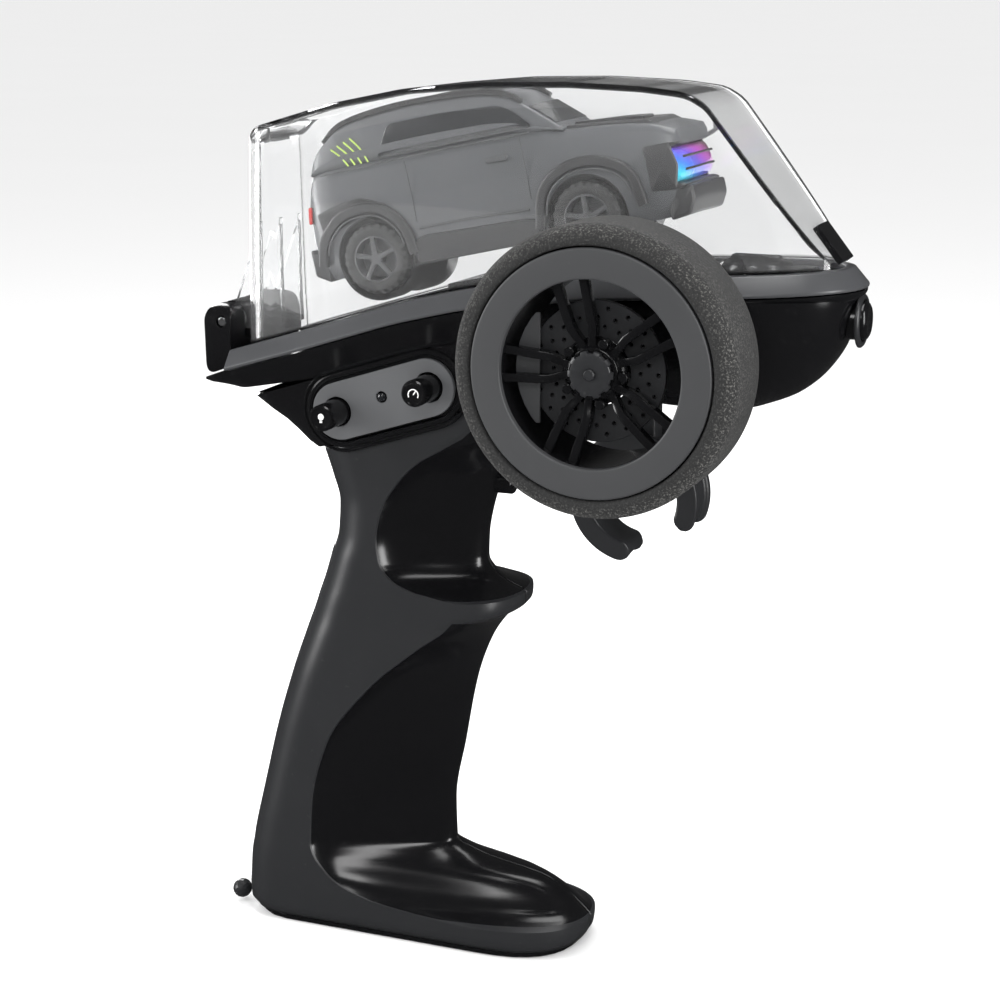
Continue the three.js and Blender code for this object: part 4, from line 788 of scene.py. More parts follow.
def hullPatches():
    # the hull's flank, and a floor that runs from its lower edge to the seam
    rows = []
    for inset, tail, depth in head["hull"]:
        path = planPath(inset, tail, head["seam"])
        rise = 0.11 * np.maximum(0, -20 - path[:, 0]) * np.clip((depth - 6) / 5.2, 0, 1)
        rows.append(np.column_stack([path, sheerZ(path[:, 0]) - depth + rise]))
    flank = np.array(rows)
    cross = tailFractions()
    edge = flank[-1, len(cross) - 1:]
    ladder = edge[:, None] * (1, 0, 1) + np.array([0, 1, 0]) * (edge[:, None, 1:2] * cross[None, :, None])
    ladder[..., 1] = np.minimum(ladder[..., 1], -head["seam"])
    return [patch(flank), patch(ladder)]


def bowlPatch():
    # stacked ovals that are a little squarer than ellipses, shrinking to the keel
    bowlAt = curveThrough(head["bowl"])
    z = np.concatenate([np.linspace(127.2, 129, 8), np.linspace(129, 152, 30)[1:]])
    rear, front, half = bowlAt(z).T
    angle = np.linspace(0, np.pi, 73)
    cx, sy = np.cos(angle), np.sin(angle)
    bendX, bendY = np.sign(cx) * np.abs(cx) ** 0.82, np.abs(sy) ** 0.82
    x = ((rear + front) / 2)[:, None] - ((front - rear) / 2)[:, None] * bendX
    y = np.minimum(-half[:, None] * bendY, -head["seam"])
    rows = np.stack([x, y, np.repeat(z[:, None], 73, 1)], -1)
    keel = rows[0].copy()
    keel[:, 1] = -head["seam"]
    return patch(np.concatenate([keel[None], rows]))


def neckOutline(rear, half, front):
    # half of the neck's outline in its own frame, with a rear and a front corner arc
    angle = np.linspace(0, np.pi / 2, 12)
    r, f = neck["rearRound"], neck["frontRound"]
    side = np.linspace(rear + r, front - f, 30)[1:-1]
    return np.concatenate([
        np.column_stack([np.full(6, rear), -np.linspace(head["seam"], half - r, 7)[:-1]]),
        np.column_stack([rear + r * (1 - np.cos(angle)), -(half - r) - r * np.sin(angle)]),
        np.column_stack([side, np.full(28, -half)]),
        np.column_stack([front - f * (1 - np.sin(angle)), -(half - f) - f * np.cos(angle)]),
        np.column_stack([np.full(6, front), -np.linspace(half - f, head["seam"], 7)[1:]]),
    ])


def neckPatch():
    # the neck's outline at each height, its rear taken from the levels
    levels = np.array(neck["levels"], float)
    rows = []
    for v in np.linspace(levels[0, 0], levels[-1, 0], 24):
        outline = neckOutline(np.interp(v, *levels.T), neck["half"], neck["front"])
        rows.append(fromNeck(outline[:, 0], outline[:, 1], v))
    return patch(np.array(rows))


panel = {"u": 21.9, "v": 7.0, "length": 34.5, "height": 12.6, "back": -16.8, "thick": 1.1, "knobs": 11.4,
         "knobRadius": 2.9, "reach": 8.0, "ledUp": 0.6}


def stadium(length, height, steps=20):
    # a slot outline: two half circles joined by straight runs, in the panel's own u and v
    radius, reach = height / 2, (length - height) / 2
    angle = np.linspace(-np.pi / 2, np.pi / 2, steps)
    right = np.column_stack([reach + radius * np.cos(angle), radius * np.sin(angle)])
    return np.concatenate([right, -right])


def bead(extra, y, radius):
    # a raised ring of round section that follows the panel's outline
    outline = stadium(panel["length"] + extra, panel["height"] + extra, 24)
    middle = fromNeck(panel["u"] + outline[:, 0], y, panel["v"] + outline[:, 1])
    along = np.roll(middle, -1, 0) - np.roll(middle, 1, 0)
    along /= np.linalg.norm(along, axis=1)[:, None]
    out = np.cross(along, (0, 1, 0))
    angle = np.linspace(0, 2 * np.pi, 10, endpoint=False)
    rings = middle[:, None] + radius * (np.cos(angle)[None, :, None] * out[:, None]
                                        + np.sin(angle)[None, :, None] * np.array([0, 1.0, 0]))
    return facing(patch(rings, wrapRows=True, wrapCols=True))


def makeHead():
    # hull, floor, bowl and neck as one half, and its mirror image; then two beads round the panel
    inside = {"hull": (25, 0, 155), "bowl": (62, 0, 145), "neck": (2, 0, 128)}
    inside = {name: np.array(spot, float) for name, spot in inside.items()}
    flank, floor = hullPatches()
    half = joined([facing(flank, inside["hull"]), facing(floor, inside["hull"]),
                   facing(bowlPatch(), inside["bowl"]), facing(neckPatch(), inside["neck"])])
    for name, node, part in (("headShellRight", "head_right_shell", half),
                             ("headShellLeft", "head_left_shell", mirrored(half))):
        makePiece(name, part, "housing", finish["glossBlack"], [node], wall=head["wall"],
                  bevel=0.35, inside=(30, 0, 146), weld=True)
    makePiece("panelSurround", joined([bead(2.6, -16.45, 0.7), bead(5.4, -16.4, 0.34)]), "housing",
              finish["glossBlack"])


makeHead()
print("head made")


band = {"tail": -40.2, "section": [(0.1, 4.2), (0.0, 3.6), (3.0, 0.0), (5.2, 0.0), (5.2, 4.2)]}
deck = {"tail": -36.2, "inset": 5.5, "drop": 1.2, "wall": 1.5, "rails": (-13.6, 13.6), "railEnds": (-30, 62)}
dial = {"x": 73.5, "radius": 7.2, "seat": 0.9, "bar": 5.3}


def makeBand():
    # a section of (inset, depth) carried round the bow from one tail end to the other
    rows = []
    for inset, depth in rounded(band["section"], 0.35):
        path = planPath(inset, band["tail"] - head["corner"])[len(tailFractions()) + 8:]
        near = np.column_stack([path, sheerZ(path[:, 0]) - depth])
        rows.append(np.concatenate([near, (near * (1, -1, 1))[-2::-1]]))
    rings = np.array(rows).transpose(1, 0, 2)
    makePiece("rimBand", facing(tube(rings)), "housing", finish["bandGrey"], ["rim_band"], bevel=0.2)


def makeDeck():
    # a sheet across the inside of the band, a little below its top, and a rail down each side
    path = planPath(deck["inset"], deck["tail"])[len(tailFractions()) - 1:]
    path[:, 1] = np.minimum(path[:, 1], -0.3)
    across = np.linspace(1, -1, 15)
    x = np.repeat(path[:, :1], len(across), 1)
    sheet = np.stack([x, path[:, 1:] * across, sheerZ(x) - deck["drop"]], -1)
    makePiece("deckTray", patch(sheet), "housing", finish["glossBlack"], ["deck_tray"],
              wall=deck["wall"], inside=(25, 0, 100), bevel=0.2)
    section = rounded([(-0.5, -0.5), (0.5, -0.5), (0.5, 0.4), (-0.5, 0.4)], 0.2)
    run = np.linspace(*deck["railEnds"], 40)
    rails = [sweptAlong(np.column_stack([run, np.full(len(run), y), sheerZ(run) - 0.9]), section,
                        (0, 1, 0), (0, 0, 1)) for y in deck["rails"]]
    makePiece("deckRails", joined(rails), "housing", finish["satinGrey"])


def makeDial():
    # a round knob spun about its own axis, with a finger bar that narrows at both ends
    floor = float(sheerZ(dial["x"] + dial["radius"])) - dial["seat"]
    r = dial["radius"]
    profile = [(0, -5), (2, -5), (2, 0), (r - 0.5, 0), (r, 0.3), (r, 1.4), (r - 0.3, 1.85), (r - 0.9, 2.0),
               (r - 1.3, 1.75), (r - 1.6, 1.7), (0, 1.75)]
    bar = rounded([(-0.9, -0.6), (0.9, -0.6), (0.9, 1.9), (-0.9, 1.9)], 0.5)
    ends, shrink = np.array([(0.9, 1), (0.3, 0.85), (0, 0.5)]).T
    run = np.concatenate([(ends - dial["bar"])[::-1], dial["bar"] - ends])
    shrink = np.concatenate([shrink[::-1], shrink])
    path = np.column_stack([dial["x"] + run, np.zeros(len(run)), np.full(len(run), floor + 1.4)])
    fingerBar = sweptAlong(path, bar[None] * shrink[:, None, None], (0, 1, 0), (0, 0, 1))
    makePiece("lockDial", joined([turned(profile, (dial["x"], 0, floor), "z"), fingerBar]), "lock_dial",
              finish["glossBlack"], ["deck_lock_dial"])


makeBand()
makeDeck()
makeDial()
print("band and deck made")


dome = {"tail": -36.8, "inset": 3.0, "lean": 3.0, "leanFrom": 140.0, "foot": 0.3, "wall": 1.5, "drop": 38.4,
        # back from the tail and down from the roof's reference height
        "roof": [(-0.4, -60), (0.0, -13.5), (2.6, -10.4), (21, -5), (38, -1.6), (56, 0), (74, 0.4), (90, -0.2),
                 (99, -1.2), (103, -3.4)],
        "screenFoot": (92.0, 158.0), "hinge": (-43.0, 140.8), "knuckle": 2.3, "pin": 1.15, "ribs": (-9, 0, 9),
        "ribWidth": 1.6}


def roofLine():
    # side outline of the dome's top from tail to screen foot, with its corners eased
    top = float(sheerZ(head["taper"])) + dome["drop"]
    line = [(dome["tail"] + x, top + z) for x, z in dome["roof"][1:]] + [dome["screenFoot"]]
    return rounded(line, 1.6, closed=False, steps=6), top


def drawIn(z, top):
    # the sides lean in by an equal amount for each millimetre of height
    half = head["half"] - dome["inset"]
    return 1 - dome["lean"] * np.clip(z - dome["leanFrom"], 0, None) / (top - dome["leanFrom"]) / half


def makeDome():
    # walls from the band up to the roof line, a roof sheet between them, and the edge value along both, which
    # marks the painted dark reflection lines
    line, top = roofLine()
    path = planPath(dome["inset"], dome["tail"])
    cross = tailFractions()
    path = path[path[:, 0] <= dome["screenFoot"][0] - 0.6]
    x, y = path.T
    foot = sheerZ(x) + dome["foot"]
    crown = np.maximum(np.interp(x, *line.T), foot + 0.3)
    tall = crown - foot
    margin = np.minimum(1.2, tall * 0.2)
    steps = np.linspace(0, 1, 14)
    levels = np.concatenate([foot[None], (foot + margin + steps[:, None] * (tall - 2 * margin)), crown[None]])
    # painted dark reflection: full strength along the roof's top edge and rims, part strength at the wall's foot
    edge = np.zeros(levels.shape)
    edge[-1] = 1
    edge[0] = 0.55
    wall = np.stack([np.broadcast_to(x, levels.shape), y * drawIn(levels, top), levels], -1)
    start = len(cross) - 1
    side = np.concatenate([-cross[::-1], cross[1:]])
    across = -wall[-1, start:, 1][:, None] * side
    roof = np.stack(np.broadcast_arrays(x[start:, None], across, crown[start:, None]), -1)
    roofEdge = (np.abs(side) > 0.999)[None] * np.ones((len(roof), 1))
    roofEdge[0] = 1
    inside = np.array((20, 0, 165), float)
    parts = [facing(patch(wall), inside), facing(mirrored(patch(wall)), inside), facing(patch(roof), inside)]
    edges = np.concatenate([edge.ravel(), edge.ravel(), roofEdge.ravel()])
    shell = makePiece("domeShell", joined(parts), "dome", finish["clear"], ["dome_shell"],
                      wall=dome["wall"], bevel=0.45, inside=inside, weld=True, smooth=28, values={"edge": edges})
    shell.visible_shadow = False


def makeDomeRibs():
    # each rib is a flat wedge from the dome's tail to the pin, with a round knuckle about the pin
    (hx, hz), pin, r, half = dome["hinge"], dome["pin"], dome["knuckle"], dome["ribWidth"] / 2
    root = dome["tail"] + 0.7
    shape = rounded([(root, hz + 22), (hx - 0.4, hz + 1.9), (hx, hz - 2.0), (root, hz - 2.3)], 0.5)
    knuckle = [(pin, -half), (r - 0.1, -half), (r, 0.1 - half), (r, half - 0.1), (r - 0.1, half), (pin, half)]
    parts = []
    for y in dome["ribs"]:
        rings = [np.column_stack([shape[:, 0], np.full(len(shape), y + k * half), shape[:, 1]])
                 for k in (-1, -0.84, 0.84, 1)]
        parts.append(facing(tube(np.array(rings))))
        parts.append(turned(knuckle + knuckle[:1], (hx, y, hz), "y", 32))
    ribs = makePiece("domeRibs", joined(parts), "dome", finish["clear"], bevel=0.12)
    ribs.visible_shadow = False


makeDome()
makeDomeRibs()
print("dome made")


fairing = {"rear": -47.55, "front": -40.5, "half": 16.5, "foot": 128.6, "top": 144.4, "round": 3.2, "corner": 4.5}


def makeFairing():
    # tail block: an upright pill seen from the side, drawn across with rounded ends, slotted for the ribs
    rear, front, top = fairing["rear"], fairing["front"], fairing["top"]
    line = rounded([(rear + 0.3, fairing["foot"]), (rear, top), (front, top), (front, 131.2)],
                   fairing["round"], steps=8)
    middle = (rear + front) / 2
    rows = []
    quarter = np.linspace(0, np.pi / 2, 9)
    for side, turns in ((-1, quarter), (1, quarter[::-1])):
        for turn in turns:
            drop = 1 - np.sin(turn)
            x = middle + (line[:, 0] - middle) * (1 - 0.10 * drop)
            y = side * (fairing["half"] - fairing["corner"] * (1 - np.cos(turn)))
            z = np.minimum(line[:, 1], top - fairing["corner"] * drop)
            rows.append(np.column_stack([x, np.full(len(line), y), z]))
    piece = makePiece("tailFairing", tube(np.array(rows)), "housing", finish["glossBlack"],
                      ["tail_fairing"])
    slots = [block((rear + 1.2, y - 1.15, 136.4), (front + 3, y + 1.15, top + 3)) for y in dome["ribs"]]
    hx, hz = dome["hinge"]
    carve(piece, slots + [turned([(0, -17), (1.3, -17), (1.3, 14.8), (0, 14.8)], (hx, 0, hz), "y", 24)])
    addBevel(piece, 0.2, 2, 35)


makeFairing()
print("tail made")


wheel = {"x": 53.6, "z": 140.5, "face": -46.0, "tyre": 29.0, "width": 21.5, "rim": 24.6, "opening": 18.5,
         "spokes": (177, 105, 33, -39, -111), "spokeFace": -44.4, "disc": 14.0, "discHole": 6.9,
         "discFace": -40.8, "lugs": 6.2, "teeth": 10}
wheelCentre = (wheel["x"], 0, wheel["z"])


def onWheel(r, across, angle, y):
    # a place on the wheel: r outwards along a spoke, across it, and y along the axle
    c, s = np.cos(angle), np.sin(angle)
    parts = wheel["x"] + r * c - across * s, y, wheel["z"] + r * s + across * c
    return np.stack(np.broadcast_arrays(*parts), -1)


def makeTyre():
    # a squared ring with rounded shoulders, worn where it is widest and near its face
    face, radius, rim, back = wheel["face"], wheel["tyre"], wheel["rim"] + 0.3, wheel["face"] + wheel["width"]
    profile = [(rim, face + 0.5), (rim + 0.8, face + 0.05), (radius - 1.5, face + 0.5), (radius, face + 2.6),
               (radius, back - 3), (radius - 2.6, back - 0.1), (rim, back - 0.1)]
    profile = rounded(profile, 1.4, steps=5)
    part = turned(np.vstack([profile, profile[:1]]), wheelCentre, "y", 160)
    r = np.hypot(part[0][:, 0] - wheel["x"], part[0][:, 2] - wheel["z"])
    worn = np.clip((r - radius + 3.2) / 2.2, 0, 1) * np.clip((back - 4 - part[0][:, 1]) / 6, 0.2, 1)
    makePiece("foamTyre", part, "steering_wheel", finish["foam"], ["foam_tyre"], values={"worn": worn})


def makeRim():
    # a hollow ring: outer wall, face and barrel in one section, with a thin black ring inside the barrel as
    # painted shade
    face, rim, hole, back = wheel["face"], wheel["rim"], wheel["opening"], wheel["face"] + wheel["width"]
    front = rounded([(rim, back), (rim, face), (hole, face), (hole, back - 2)], 0.55, closed=False, steps=5)
    inner = [(hole + 1.2, back - 2), (hole + 1.2, face + 3), (rim - 1.3, face + 3), (rim - 1.3, back)]
    profile = np.vstack([front, inner, front[:1]])
    makePiece("wheelRim", turned(profile, wheelCentre, "y", 160), "steering_wheel", finish["ringGrey"],
              ["wheel_rim"])
    # painted shade: a black skin just inside the barrel's own grey wall
    low, high = hole - 0.05, hole + 0.2
    barrelShadeRing = [(low, face + 1.4), (low, back - 2.2), (high, back - 2.2), (high, face + 1.4)]
    makePiece("rimBarrelShade", turned(barrelShadeRing + barrelShadeRing[:1], wheelCentre, "y", 128), "steering_wheel",
              finish["glossBlack"])


def makeSpokes():
    # split spokes that widen outwards and climb towards the hub, on a hub drum with round nuts between them
    parts = []
    section = rounded([(-0.85, -1.2), (0.85, -1.2), (0.85, 1.2), (-0.85, 1.2)], 0.28, steps=2)
    reach = 3.6 + np.linspace(0, 1, 25) * (wheel["opening"] - 3.75)
    spread = np.interp(reach, [3.6, 6.2, 7.6, 9.2, 18.4], [0.8, 1.15, 1.75, 2.25, 2.85])
    dip = np.interp(reach, [3.6, 6.2, 8.4, 11, 18.4], [1.5, 1.7, 1.0, 0.45, 0.2])
    for degrees in wheel["spokes"]:
        angle = np.radians(degrees)
        sideways = np.array([-np.sin(angle), 0, np.cos(angle)])
        for sign in (-1, 1):
            path = onWheel(reach, sign * spread, angle, wheel["spokeFace"] + 1.2 + dip)
            parts.append(sweptAlong(path, section, sideways, (0, 1, 0)))
        nut = [(0, -0.9), (0.85, -0.9), (1.0, -0.75), (1.0, 1.5), (0, 1.5)]
        place = onWheel(wheel["lugs"], 0, angle + np.pi / 5, wheel["spokeFace"] + 1.5)
        parts.append(turned(nut, place, "y", 20))
    y = wheel["spokeFace"]
    drum = rounded([(0, y + 0.9), (5.0, y + 0.9), (5.6, y + 2), (6.6, y + 3), (6.2, -30), (2.9, -30),
                    (2.9, -38.8), (0, -38.8)], 0.3, closed=False)
    parts.append(turned(drum, wheelCentre, "y", 64))
    makePiece("wheelSpokes", joined(parts), "steering_wheel", finish["glossBlack"],
              ["wheel_spokes"])


def makeHubCap():
    # notched cap: its edge steps between two radii, and a shallow dimple marks its middle
    rings = []
    angle = np.linspace(0, 2 * np.pi, 240, endpoint=False)
    tooth = np.clip(np.cos(angle * wheel["teeth"]) * 4 + 0.5, 0, 1)
    # radius at a notch, how far a tooth stands out of it, and place along the axle
    steps = [(0.25, 0, -44.75), (0.6, 0, -44.95), (1.1, 0, -45.15), (1.4, 0, -45.22), (3.6, 0.1, -45.22),
             (4.05, 0.35, -45.1), (4.2, 0.45, -44.9), (4.2, 0.45, -44.15)]
    for base, notch, y in steps:
        r = base + notch * tooth
        rings.append(onWheel(r * np.cos(angle), r * np.sin(angle), 0.0, y))
    bolt = [(0, -45.75), (0.9, -45.75), (1.1, -45.55), (1.1, -44.9), (0, -44.9)]
    parts = [facing(tube(np.array(rings))), turned(bolt, wheelCentre, "y", 40)]
    makePiece("hubCap", joined(parts), "steering_wheel", finish["satinGrey"], ["wheel_hub_cap"])


def makeDisc():
    # drilled brake disc: three rings of small holes, each ring turned half a step from the next
    rings, around, holeRadius = (8.9, 10.7, 12.5), 18, 0.42
    holes = [(r * np.cos(a), r * np.sin(a))
             for k, r in enumerate(rings)
             for a in (np.arange(around) + k / 2) * 2 * np.pi / around]

    def loops(inset):  # the outer edge drawn in and each hole widened by the inset
        edges = [circle((0, 0), wheel["disc"] - inset, 120), circle((0, 0), wheel["discHole"] + inset, 60)[::-1]]
        return edges + [circle(hole, holeRadius + inset, 10)[::-1] for hole in holes]

    def place(ring, depth):  # flat outline points at a depth behind the front face
        return onWheel(ring[:, 0], ring[:, 1], 0.0, wheel["discFace"] + depth)

    makePiece("brakeDisc", filledPlate(loops, place), "steering_wheel", finish["satinGrey"],
              ["brake_disc"])
    # painted shade: a thin black ring just behind the disc, seen through its holes
    low, high, front = wheel["discHole"], wheel["disc"] - 0.1, wheel["discFace"] + 1.05
    holeShadeRing = [(low, front), (high, front), (high, front + 0.25), (low, front + 0.25)]
    makePiece("discHoleShade", turned(holeShadeRing + holeShadeRing[:1], wheelCentre, "y", 96), "steering_wheel",
              finish["glossBlack"])


makeTyre()
makeRim()
makeSpokes()
makeHubCap()
makeDisc()
print("steering wheel made")


trigger = {"x": 49.4, "z": 106.6, "middle": 12.1, "half": 2.3, "width": 11, "from": -30, "to": 267,
           "pivot": (50, 135.5)}


def makeTrigger():
    # a flat finger loop with a gap, its tips rounded by shrinking the section, and a stem up to the pivot
    count = 120
    angle = np.radians(np.linspace(trigger["from"], trigger["to"], count))
    arc = np.radians(trigger["to"] - trigger["from"]) * trigger["middle"]
    along = np.linspace(0, arc, count)
    tip = np.clip(np.minimum(along, arc - along) / 2.4, 0, 1)
    scale = np.sqrt(np.clip(1 - (1 - tip) ** 2, 0.03, 1))
    w, h = trigger["width"] / 2, trigger["half"]
    outline = rounded([(-w, -h), (w, -h), (w, h), (w - 1.6, h), (w - 2.2, h - 1.1),
                       (2.2 - w, h - 1.1), (1.6 - w, h), (-w, h)], 0.7, steps=3)
    rings = outline[None] * np.stack([0.82 + 0.18 * scale, scale], -1)[:, None]
    radial = np.column_stack([np.cos(angle), np.zeros(count), np.sin(angle)])
    middle = np.array([trigger["x"], 0, trigger["z"]]) + trigger["middle"] * radial
    loop = swept(middle, rings, np.tile((0, 1.0, 0), (count, 1)), radial)
    stemSide = rounded([(-3.4, -2.8), (3.4, -2.8), (3.4, 2.8), (-3.4, 2.8)], 0.7)
    rise = np.linspace(trigger["z"] + 11.5, trigger["pivot"][1], 8)
    path = np.column_stack([np.full(8, trigger["pivot"][0]), np.zeros(8), rise])
    stem = sweptAlong(path, stemSide, (1, 0, 0), (0, 1, 0))
    makePiece("fingerTrigger", joined([loop, stem]), "trigger_lever", finish["satinGrey"],
              ["trigger"])


def makePanel():
    # a slot-shaped plate with holes for the two buttons and the lamp
    holes = [(-panel["knobs"], 0, panel["knobRadius"] + 0.4), (panel["knobs"], 0, panel["knobRadius"] + 0.4),
             (0, panel["ledUp"], 1.25)]

    def loops(inset):  # the outer edge drawn in and each hole widened by the inset
        edges = [stadium(panel["length"] - 2 * inset, panel["height"] - 2 * inset)]
        return edges + [circle((u, v), radius + inset, 40)[::-1] for u, v, radius in holes]

    def place(ring, depth):  # flat outline points at a depth behind the front face
        y = panel["back"] - panel["thick"] + depth * panel["thick"]
        return fromNeck(panel["u"] + ring[:, 0], y, panel["v"] + ring[:, 1])

    makePiece("controlPanelRight", filledPlate(loops, place), "housing", finish["panelGrey"],
              ["control_panel_right"])


def makeButtons():
    # push buttons: a barrel with a bright bevel and a dished face, and a raised pictogram on each
    face = panel["back"] - panel["thick"] - panel["reach"]
    r = panel["knobRadius"]
    profile = [(0, face + 0.25), (r * 0.5, face + 0.22), (r - 0.75, face + 0.1), (r - 0.65, face),
               (r - 0.42, face), (r - 0.08, face + 0.3), (r, face + 0.55), (r, -14.4), (r + 1.4, -14.4),
               (r + 1.4, -13.4), (0, -13.4)]
    spots = {}
    for name, body, node, u in (("lightButton", "light_push", "light_button", -panel["knobs"]),
                                ("speedButton", "speed_push", "speed_button", panel["knobs"])):
        spot = fromNeck(panel["u"] + u, 0.0, panel["v"])
        spots[body] = spot
        makePiece(name, turned(profile, spot, "y", 72), body, finish["glossBlack"], [node])
    makeMarks(spots["light_push"], spots["speed_push"], face + 0.17)
    lamp = fromNeck(panel["u"], 0.0, panel["v"] + panel["ledUp"])
    dot = [(0, -18.45), (0.45, -18.38), (0.8, -18.15), (0.95, -17.8), (0.95, -13.9), (0, -13.9)]
    makePiece("statusLamp", turned(dot, lamp, "y", 32), "housing", finish["carGlass"], ["status_led"])


def makeMarks(at, speedSpot, y):
    # a bulb over two bars, and a gauge arc with its needle, standing a little out of the button faces
    bulb = turned([(0, -0.08), (0.62, -0.08), (0.7, 0), (0.62, 0.12), (0, 0.12)], at + (0, y, 0.35), "y", 28)
    cap = [block(at + (-0.3, y - 0.08, k), at + (0.3, y + 0.12, k + 0.2)) for k in (-0.62, -0.94)]
    makePiece("bulbMark", joined([bulb] + cap), "light_push", finish["iconWhite"])
    middle = speedSpot + (0, y, -0.2)
    sweep = np.radians(np.linspace(-30, 210, 30))
    radial = np.column_stack([np.cos(sweep), 0 * sweep, np.sin(sweep)])
    square = np.array([(-0.09, -0.1), (0.09, -0.1), (0.09, 0.1), (-0.09, 0.1)])
    arc = swept(middle + radial * 1.15, square, np.tile((0, 1.0, 0), (len(sweep), 1)), radial)
    hand = np.array([(0, 0, 0), (0.35, 0, 0.5), (0.62, 0, 0.9)]) + middle
    needle = sweptAlong(hand, square, (0, 1, 0), (0.82, 0, -0.57))
    makePiece("gaugeMark", joined([arc, needle]), "speed_push", finish["iconWhite"])


def makeThumbAndLatch():
    # the thumb button, the dome latch's button and the ring round it, each spun about its own axis
    spot = (17.6, 0, 106.2)
    profile = [(0, -6.4), (3.4, -6.4), (3.4, -5.4), (2.4, -5.4), (2.4, 2.3), (2.1, 2.7), (1.6, 2.9), (0, 2.75)]
    makePiece("auxButton", turned(profile, spot, "x", 48), "aux_push", finish["glossBlack"],
              ["aux_button"])
    spot = (94.4, 0, 147)
    profile = [(0, -5), (4, -5), (4, 2.5), (3.7, 3.05), (3.1, 3.4), (2.4, 3.1), (0, 3.0)]
    makePiece("latchButton", turned(profile, spot, "x", 64), "latch_push", finish["glossBlack"],
              ["latch_button"])
    profile = rounded([(4.4, 1.4), (5.6, 1.4), (5.6, 1.9), (5.1, 2.4), (4.4, 2.4)], 0.25)
    makePiece("latchBezel", turned(np.vstack([profile, profile[:1]]), spot, "x", 64), "housing",
              finish["satinGrey"], ["latch_bezel"])


makeTrigger()
makePanel()
makeButtons()
makeThumbAndLatch()
print("trigger, panels and buttons made")


car = {
    "axle": (-6.6, 156.1), "tilt": np.radians(12.6), "wheelbase": 49.1, "well": 9.0, "wellDepth": 6.0,
    "wheelFace": 13.0, "wheelWidth": 4.6, "spokes": 5, "treadBlocks": 24,
    # along the car: bottom of the body, top, half width at the shoulder, half width at the top
    "stations": [(-15.0, 3.4, 9.5, 9.4, 9.0), (-14.4, -0.6, 13.5, 10.6, 10.0), (-13.0, -2.2, 18.2, 11.5, 10.4),
                 (-11.4, -2.8, 20.6, 12.0, 10.4), (-8, -3.0, 20.8, 12.4, 10.6), (12, -3.0, 20.6, 12.4, 10.8),
                 (34, -3.0, 20.2, 12.4, 10.8), (41, -3.0, 19.8, 12.4, 10.8), (46, -3.0, 18.6, 12.4, 10.6),
                 (56, -3.2, 17.6, 12.4, 10.4), (64, -3.2, 16.4, 12.2, 10.2), (68.5, -3.0, 14.9, 11.8, 10.0),
                 (70.6, -1.8, 13.4, 11.2, 9.6), (71.2, 1.0, 11.2, 10.6, 9.2)],
    # along the cabin: foot, top, half width at the foot, half width at the top
    "cabin": [(-12.2, 19.6, 21.0, 10.4, 9.6), (-11.2, 19.6, 23.4, 10.5, 9.5), (-8.6, 19.6, 26.2, 10.6, 9.2),
              (-4.6, 19.6, 28.8, 10.7, 8.9), (2, 19.6, 29.9, 10.8, 8.8), (13, 19.6, 30.4, 10.8, 8.7),
              (28, 19.6, 29.4, 10.8, 8.7), (35.4, 19.4, 27.6, 10.8, 8.8), (38.2, 19.0, 25.8, 10.8, 9.0),
              (45.6, 18.6, 20.0, 10.7, 10.0), (46.8, 18.2, 18.9, 10.6, 10.2)],
}


def onCar(p, y, q):
    # a place in the car's frame: p forwards from the rear axle, q up
    c, s = np.cos(car["tilt"]), np.sin(car["tilt"])
    return np.stack(np.broadcast_arrays(car["axle"][0] + p * c - q * s, y, car["axle"][1] + p * s + q * c), -1)


def carSection(bottom, top, shoulder, crown, belt=0.62, steps=5):
    # cross section from the sill up the flank, over the shoulder and across the top, then mirrored
    tall = top - bottom
    right = [(-shoulder * 0.86, bottom), (-shoulder * 0.97, bottom + 0.12 * tall),
             (-shoulder, bottom + 0.4 * tall), (-shoulder * 0.985, bottom + belt * tall),
             (-crown, top - 0.06 * tall), (-crown * 0.9, top), (-crown * 0.5, top + 0.25)]
    right = rounded(right, 0.9, closed=False, steps=steps)
    return np.vstack([right, (right * (-1, 1))[::-1]])


def loftCar(stations, belt, spacing=1.0):
    # the section carried from tail to nose, its four sizes taken from the stations
    at = curveThrough(stations)
    run = np.arange(stations[0][0], stations[-1][0] + spacing / 2, spacing)
    rings = []
    for p in run:
        bottom, top, shoulder, crown = at(p)
        section = carSection(bottom, top, shoulder, crown, belt)
        rings.append(onCar(p, section[:, 0], section[:, 1]))
    return facing(tube(np.array(rings)))


def rodAcross(p, q, radius, y0, y1, steps=48, round=0.4):
    # a rod across the car with rounded ends
    angle = np.linspace(0, 2 * np.pi, steps, endpoint=False)
    inset = min(round, radius * 0.4)
    sign = np.sign(y1 - y0)
    rows = [(radius - inset, y0), (radius, y0 + sign * inset), (radius, y1 - sign * inset), (radius - inset, y1)]
    rings = [onCar(p + r * np.cos(angle), np.full(steps, y), q + r * np.sin(angle)) for r, y in rows]
    return facing(tube(np.array(rings)))


def ribbon(line, y, width, thick, side=-1):
    # a raised strip along a line of (p, q) on the car's flank; width lies in the flank, thick out of it
    line = np.array(line, float)
    ahead = np.gradient(line, axis=0)
    ahead /= np.linalg.norm(ahead, axis=1)[:, None]
    across = np.column_stack([-ahead[:, 1], ahead[:, 0]])
    origin = onCar(0.0, 0.0, 0.0)
    sideways = onCar(across[:, 0], 0.0, across[:, 1]) - origin
    half = width / 2
    section = rounded([(-half, -thick), (half, -thick), (half, thick), (-half, thick)], thick * 0.8)
    ups = np.tile((0, float(side), 0), (len(line), 1))
    return swept(onCar(line[:, 0], y * -side, line[:, 1]), section, sideways, ups)


